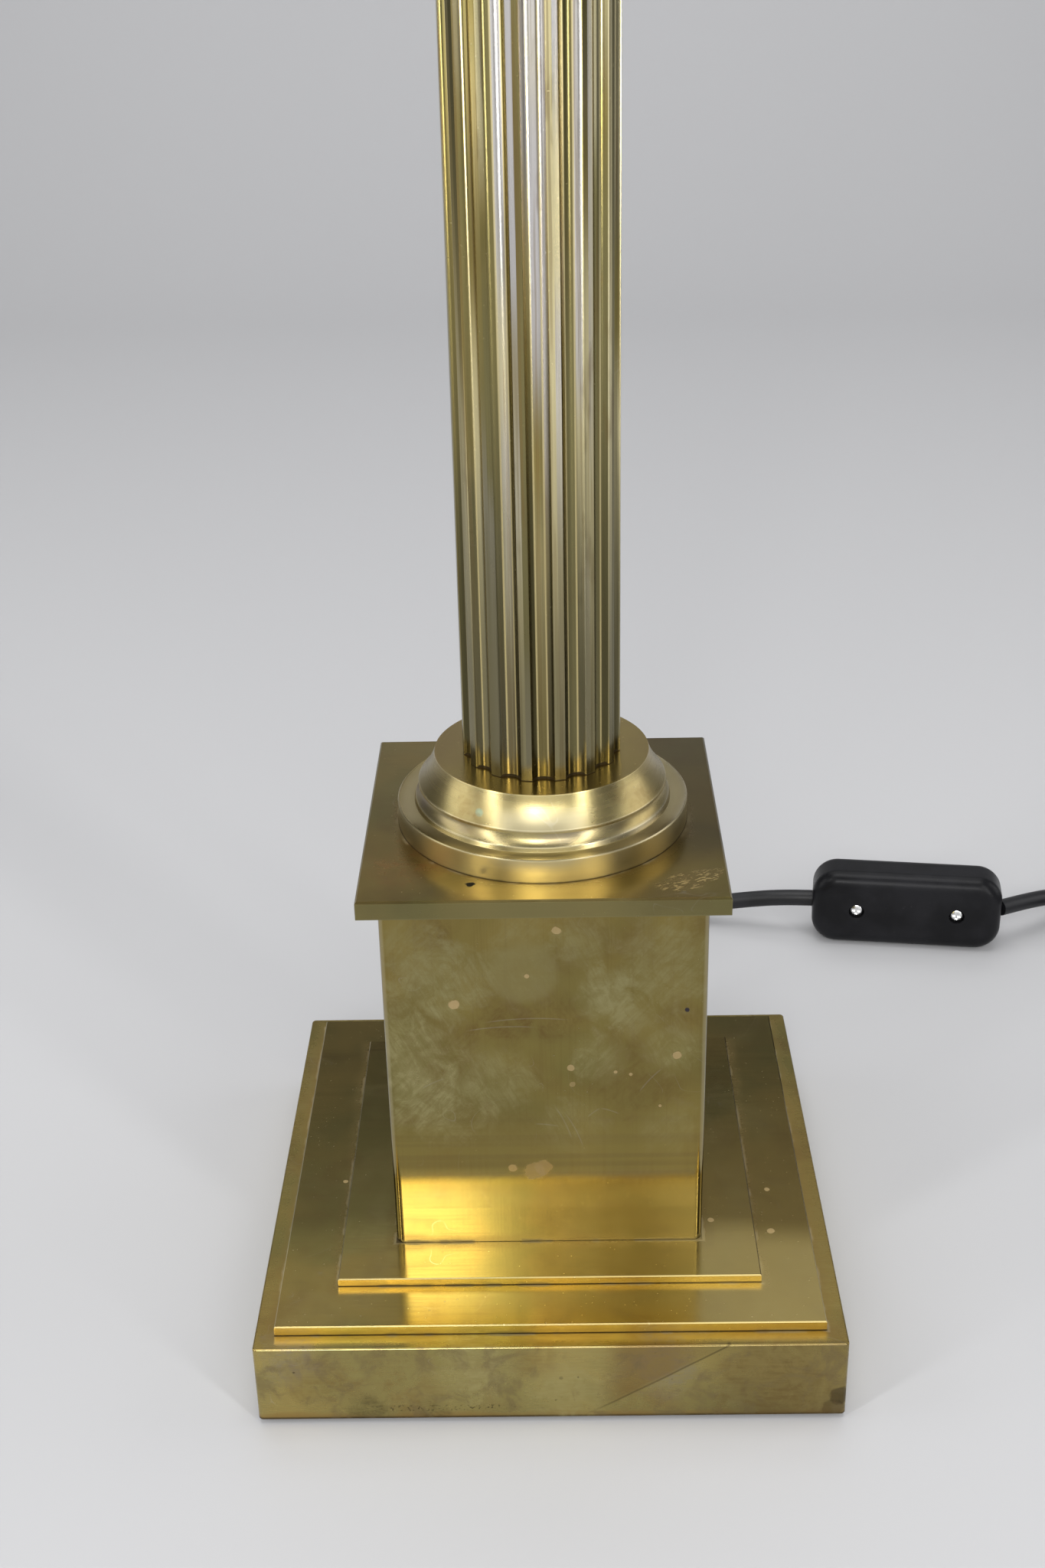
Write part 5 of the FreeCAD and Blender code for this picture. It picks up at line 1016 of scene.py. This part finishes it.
def screws(bright, brassy, steel):
    """Domed screws in the switch, the saddle and the insert, in place of the plain ones."""
    mesh = screw_mesh()
    inward = Vector((-sin(SWITCH_TURN), cos(SWITCH_TURN), 0))
    sides = (-1, 1)
    switch_places = [(switch_point(side * SWITCH_SCREWS_APART / 2) + inward * SWITCH_SCREW_SEAT) * MM
                     for side in sides]
    inward_turn = Vector((0, 0, 1)).rotation_difference(inward).to_euler()
    low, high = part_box("saddle_screws")
    middle = (low.y + high.y) / 2
    saddle_places = [(side * SADDLE_SCREW_OUT * MM, middle, low.z + PLAIN_HEAD * MM) for side in sides]
    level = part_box("terminal_screws")[0].z + PLAIN_HEAD * MM
    terminal_places = [(0, side * TERMINAL_SCREW_OUT * MM, level) for side in sides]
    for node, places, turn, material, slot in (
            ("switch_screws", switch_places, inward_turn, bright, "bright_screw"),
            ("saddle_screws", saddle_places, (0, 0, 0), steel, "zinc_steel"),
            ("terminal_screws", terminal_places, (0, 0, 0), brassy, "contact_brass")):
        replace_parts(repeated(f"{node}_domed", mesh.copy(), places, [turn] * 2, material), node)


# Lampholder, in millimetres above the surface that the lamp stands on
THREAD_PITCH, THREAD_DEPTH = 2.5, 0.5
SKIRT_FOOT, SKIRT_RIM, THREAD_END, SKIRT_TOP = 573.65, 576.65, 592.65, 614.65
SKIRT_BORE, SKIRT_IN, SKIRT_OUT, SKIRT_PLAIN, SKIRT_MOUTH = 18, 19, 19.6, 19.2, 15.2
SKIRT_BEND, SKIRT_EDGE = 1.6, 0.3


def skirt_outline(angle):
    """The skirt's wall at an angle: an outside thread, a plain part and a turned-in mouth."""
    points = [(SKIRT_BORE, SKIRT_FOOT), (SKIRT_IN, SKIRT_FOOT), (SKIRT_IN, SKIRT_RIM)]
    levels = 64
    for index in range(levels + 1):
        level = SKIRT_RIM + (THREAD_END - SKIRT_RIM) * index / levels
        phase = (level / THREAD_PITCH - angle / (2 * pi)) % 1
        points.append((SKIRT_OUT - THREAD_DEPTH * abs(2 * phase - 1), level))
    points.append((SKIRT_PLAIN, THREAD_END + 0.2))
    points += [(SKIRT_PLAIN - SKIRT_BEND + SKIRT_BEND * cos(turn), SKIRT_TOP - SKIRT_BEND + SKIRT_BEND * sin(turn))
               for turn in (pi / 2 * step / 6 for step in range(7))]
    points += [(SKIRT_MOUTH + SKIRT_EDGE, SKIRT_TOP), (SKIRT_MOUTH, SKIRT_TOP - SKIRT_EDGE),
               (SKIRT_MOUTH, SKIRT_TOP - SKIRT_BEND), (SKIRT_BORE, SKIRT_TOP - SKIRT_BEND)]
    return points


SHELL_FOOT, SHELL_PITCH, SHELL_WAVE, SHELL_WALL = 582.65, 3.62, 0.55, 0.45
SHELL_FOOT_RADIUS, SHELL_FOOT_HEIGHT, SHELL_THREAD_LENGTH = 11.8, 4.6, 19.4
SHELL_CREST = 13.65


def shell_outline(angle):
    """The screw shell's sheet at an angle: a narrow foot, then a rolled round thread."""
    step_level = SHELL_FOOT + SHELL_FOOT_HEIGHT
    outside = [(12.25, SHELL_FOOT), (12.25, SHELL_FOOT + 4.15), (13.4, SHELL_FOOT + 4.15)]
    levels = 60
    for index in range(levels + 1):
        level = step_level + SHELL_THREAD_LENGTH * index / levels
        phase = level / SHELL_PITCH - angle / (2 * pi)
        outside.append((SHELL_CREST - SHELL_WAVE * (0.5 + 0.5 * cos(2 * pi * phase)), level))
    inside = [(radius - SHELL_WALL, level) for radius, level in outside[3:]]
    return outside + inside[::-1] + [(SHELL_FOOT_RADIUS, step_level), (SHELL_FOOT_RADIUS, SHELL_FOOT)]


RING_LEVELS = (577.85, 582.85)
RING_RADIUS, RING_BORE, COLLAR_RADIUS = 28, 19.8, 21.8
FLANGE_THICK, RING_THICK, RING_EDGE = 2.5, 5, 0.4
GRIP_COUNT, GRIP_DEPTH = 60, 0.45


def shade_ring_outline(angle, level):
    """A shade ring's section at an angle: a thin flange with a milled rim under a narrow collar."""
    rim = RING_RADIUS - GRIP_DEPTH * (0.5 + 0.5 * cos(GRIP_COUNT * angle)) ** 3
    section = [
        (RING_BORE, 0), (rim - RING_EDGE, 0), (rim, RING_EDGE), (rim, FLANGE_THICK - RING_EDGE),
        (rim - RING_EDGE, FLANGE_THICK), (COLLAR_RADIUS + 0.1, FLANGE_THICK), (COLLAR_RADIUS, FLANGE_THICK + 0.1),
        (COLLAR_RADIUS, RING_THICK - 0.3), (COLLAR_RADIUS - 0.3, RING_THICK), (RING_BORE, RING_THICK)]
    return [(radius, level + height) for radius, height in section]


def threaded_pieces(brassy, contact):
    """The skirt and screw shell with their threads, and the shade rings with milled rims."""
    mesh = ring_mesh("threaded_skirt", skirt_outline, 96)
    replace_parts(piece_from(mesh, brassy), "holder_skirt")
    mesh = ring_mesh("rolled_shell", shell_outline, 72)
    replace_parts(piece_from(mesh, contact, 50), "socket_shell")
    for name, level in zip(("shade_ring_lower", "shade_ring_upper"), RING_LEVELS):
        mesh = ring_mesh(f"milled_{name}", lambda angle: shade_ring_outline(angle, level), GRIP_COUNT * 6)
        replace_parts(piece_from(mesh, brassy), name)


def along_cord(mesh):
    """Turn a ring that was made upright so that its axis lies along +Y at the cord's height."""
    mesh.transform(Matrix.Translation((0, 0, CORD_EXIT[2] * MM)) @ Matrix.Rotation(-pi / 2, 4, "X"))


# Cord sleeve: radii of its hole, flanges, neck and tip, and its places along the cord
SLAB_BACK, SLAB_WALL = 80, 1.6
SLEEVE_HOLE, SLEEVE_FLANGE, SLEEVE_NECK, SLEEVE_TIP = 3.1, 5.8, 4.8, 4.1
FLANGE_WIDE, SLEEVE_LENGTH, SLEEVE_EDGE = 1.5, 26, 0.4
SLEEVE_RIBS, SLEEVE_RIB_DEPTH = 8, 0.6


def cord_relief(rubber):
    """The ribbed cord sleeve in the slab's back."""
    inner, outer, far = SLAB_BACK - SLAB_WALL, SLAB_BACK + FLANGE_WIDE, SLAB_BACK + SLEEVE_LENGTH
    section = [(SLEEVE_HOLE, inner - 1.5), (SLEEVE_FLANGE - 0.3, inner - 1.5), (SLEEVE_FLANGE, inner - 1.2),
               (SLEEVE_FLANGE, inner), (SLEEVE_NECK, inner), (SLEEVE_NECK, SLAB_BACK), (SLEEVE_FLANGE, SLAB_BACK),
               (SLEEVE_FLANGE, outer - SLEEVE_EDGE), (SLEEVE_FLANGE - SLEEVE_EDGE, outer)]
    ribs_start, ribs_end = outer + 1, far - 3
    for index in range(SLEEVE_RIBS):
        for share, sunk in ((0, SLEEVE_RIB_DEPTH), (0.2, SLEEVE_RIB_DEPTH), (0.3, 0), (0.9, 0)):
            along = ribs_start + (ribs_end - ribs_start) * (index + share) / SLEEVE_RIBS
            radius = SLEEVE_NECK + (SLEEVE_TIP - SLEEVE_NECK) * (along - outer) / (far - outer)
            section.append((radius - sunk, along))
    section += [(SLEEVE_TIP, far - SLEEVE_EDGE), (SLEEVE_TIP - SLEEVE_EDGE, far), (SLEEVE_HOLE, far)]
    mesh = ring_mesh("ribbed_relief", lambda angle: section, 48)
    along_cord(mesh)
    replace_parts(piece_from(mesh, rubber), "cord_relief")


# Plug's tail: where its ribs start and end before its back, their radii and number
TAIL_START, TAIL_END = 21, 3
TAIL_INSIDE, TAIL_WIDE, TAIL_TAPER, TAIL_LENGTH = 3.4, 5.6, 1.5, 24
TAIL_RIBS, RIB_PROUD, RIB_SUNK = 6, 0.45, -0.3


def plug_tail(moulded):
    """Ribs round the plug's tail."""
    low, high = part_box("plug_body")
    start, end = high.y / MM - TAIL_START, high.y / MM - TAIL_END
    section = [(TAIL_INSIDE, start)]
    for index in range(TAIL_RIBS):
        for share, proud in ((0, RIB_SUNK), (0.15, RIB_PROUD), (0.5, RIB_PROUD), (0.65, RIB_SUNK)):
            along = start + (end - start) * (index + share) / TAIL_RIBS
            section.append((TAIL_WIDE - TAIL_TAPER * (along - start + TAIL_END) / TAIL_LENGTH + proud, along))
    section.append((TAIL_INSIDE, section[-1][1]))
    mesh = ring_mesh("plug_tail_ribs", lambda angle: section, 48)
    along_cord(mesh)
    middle = ((low.x + high.x) / 2, (low.z + high.z) / 2)
    mesh.transform(Matrix.Translation((middle[0], 0, middle[1] - CORD_EXIT[2] * MM)))
    piece_from(mesh, moulded)


def paint(material, *nodes):
    """Give CAD nodes that stay their own finish."""
    for node in nodes:
        NODES[node].data.materials.clear()
        NODES[node].data.materials.append(material)


place_camera()
floor_and_backdrop()
lights()

moulded = moulded_finish("black_plastic")
cord_black = moulded_finish("cord_black", 0.42)
bright = plain_finish("bright_plate", (0.78, 0.78, 0.77), 0.18, 1, 0.05)
contact = plain_finish("contact_brass", (0.72, 0.52, 0.2), 0.25, 1, 0.12)
steel = plain_finish("zinc_steel", (0.45, 0.45, 0.44), 0.35, 1, 0.2)
nickel = plain_finish("pin_nickel", (0.66, 0.64, 0.6), 0.22, 1, 0.08)
cords(cord_black)
screws(bright, contact, steel)
holder_brass = finished_brass(turned_finish("holder_brass", "holder_cap", (), 0.22, 0.1))
threaded_pieces(holder_brass, contact)
cord_relief(moulded_finish("relief_rubber", 0.5))
plug_tail(moulded)
paint(slab_finish(), "base_shell")
paint(step_finish("lower_step_brass", "step_plate_lower", "step_plate_upper"), "step_plate_lower")
paint(step_finish("upper_step_brass", "step_plate_upper", "pedestal_box", 0.16), "step_plate_upper")
paint(pedestal_finish(), "pedestal_box")
paint(cap_finish(), "pedestal_cap")
paint(column_base_finish(), "column_base")
paint(shaft_finish(), "column_shaft")
paint(finished_brass(turned_finish("capital_brass", "column_capital", (), 0.26, 0.3)), "column_capital")
paint(finished_brass(plate_finish("abacus_brass", "abacus", "crown_plate")), "abacus")
paint(finished_brass(plate_finish("crown_brass", "crown_plate", None, "neck")), "crown_plate")
paint(finished_brass(turned_finish("neck_brass", "neck", (), 0.24, 0.2)), "neck")
paint(holder_brass, "holder_cap")
paint(felt_finish(), "felt_pad")
paint(board_finish(), "base_board")
paint(cast_finish(), "base_ballast")
paint(ceramic_finish(), "holder_insert")
paint(steel, "cord_saddle", "pedestal_foot_locator", "pedestal_top_locator", "bottom_washer", "bottom_nut",
      "top_washer", "top_nut", "tie_tube")
paint(contact, "centre_contact", "switch_terminals", "contact_leaf")
paint(moulded_finish("switch_plastic", 0.3, 0.13), "switch_lower_shell", "switch_upper_shell")
paint(moulded, "switch_rocker", "plug_body", "pin_sleeves")
paint(cord_black, "cord_inner")
paint(nickel, "plug_pins")
paint(plain_finish("lead_live_cover", (0.09, 0.035, 0.015), 0.4), "lead_live")
paint(plain_finish("lead_neutral_cover", (0.012, 0.035, 0.16), 0.4), "lead_neutral")

bpy.context.scene.view_settings.view_transform = "Standard"
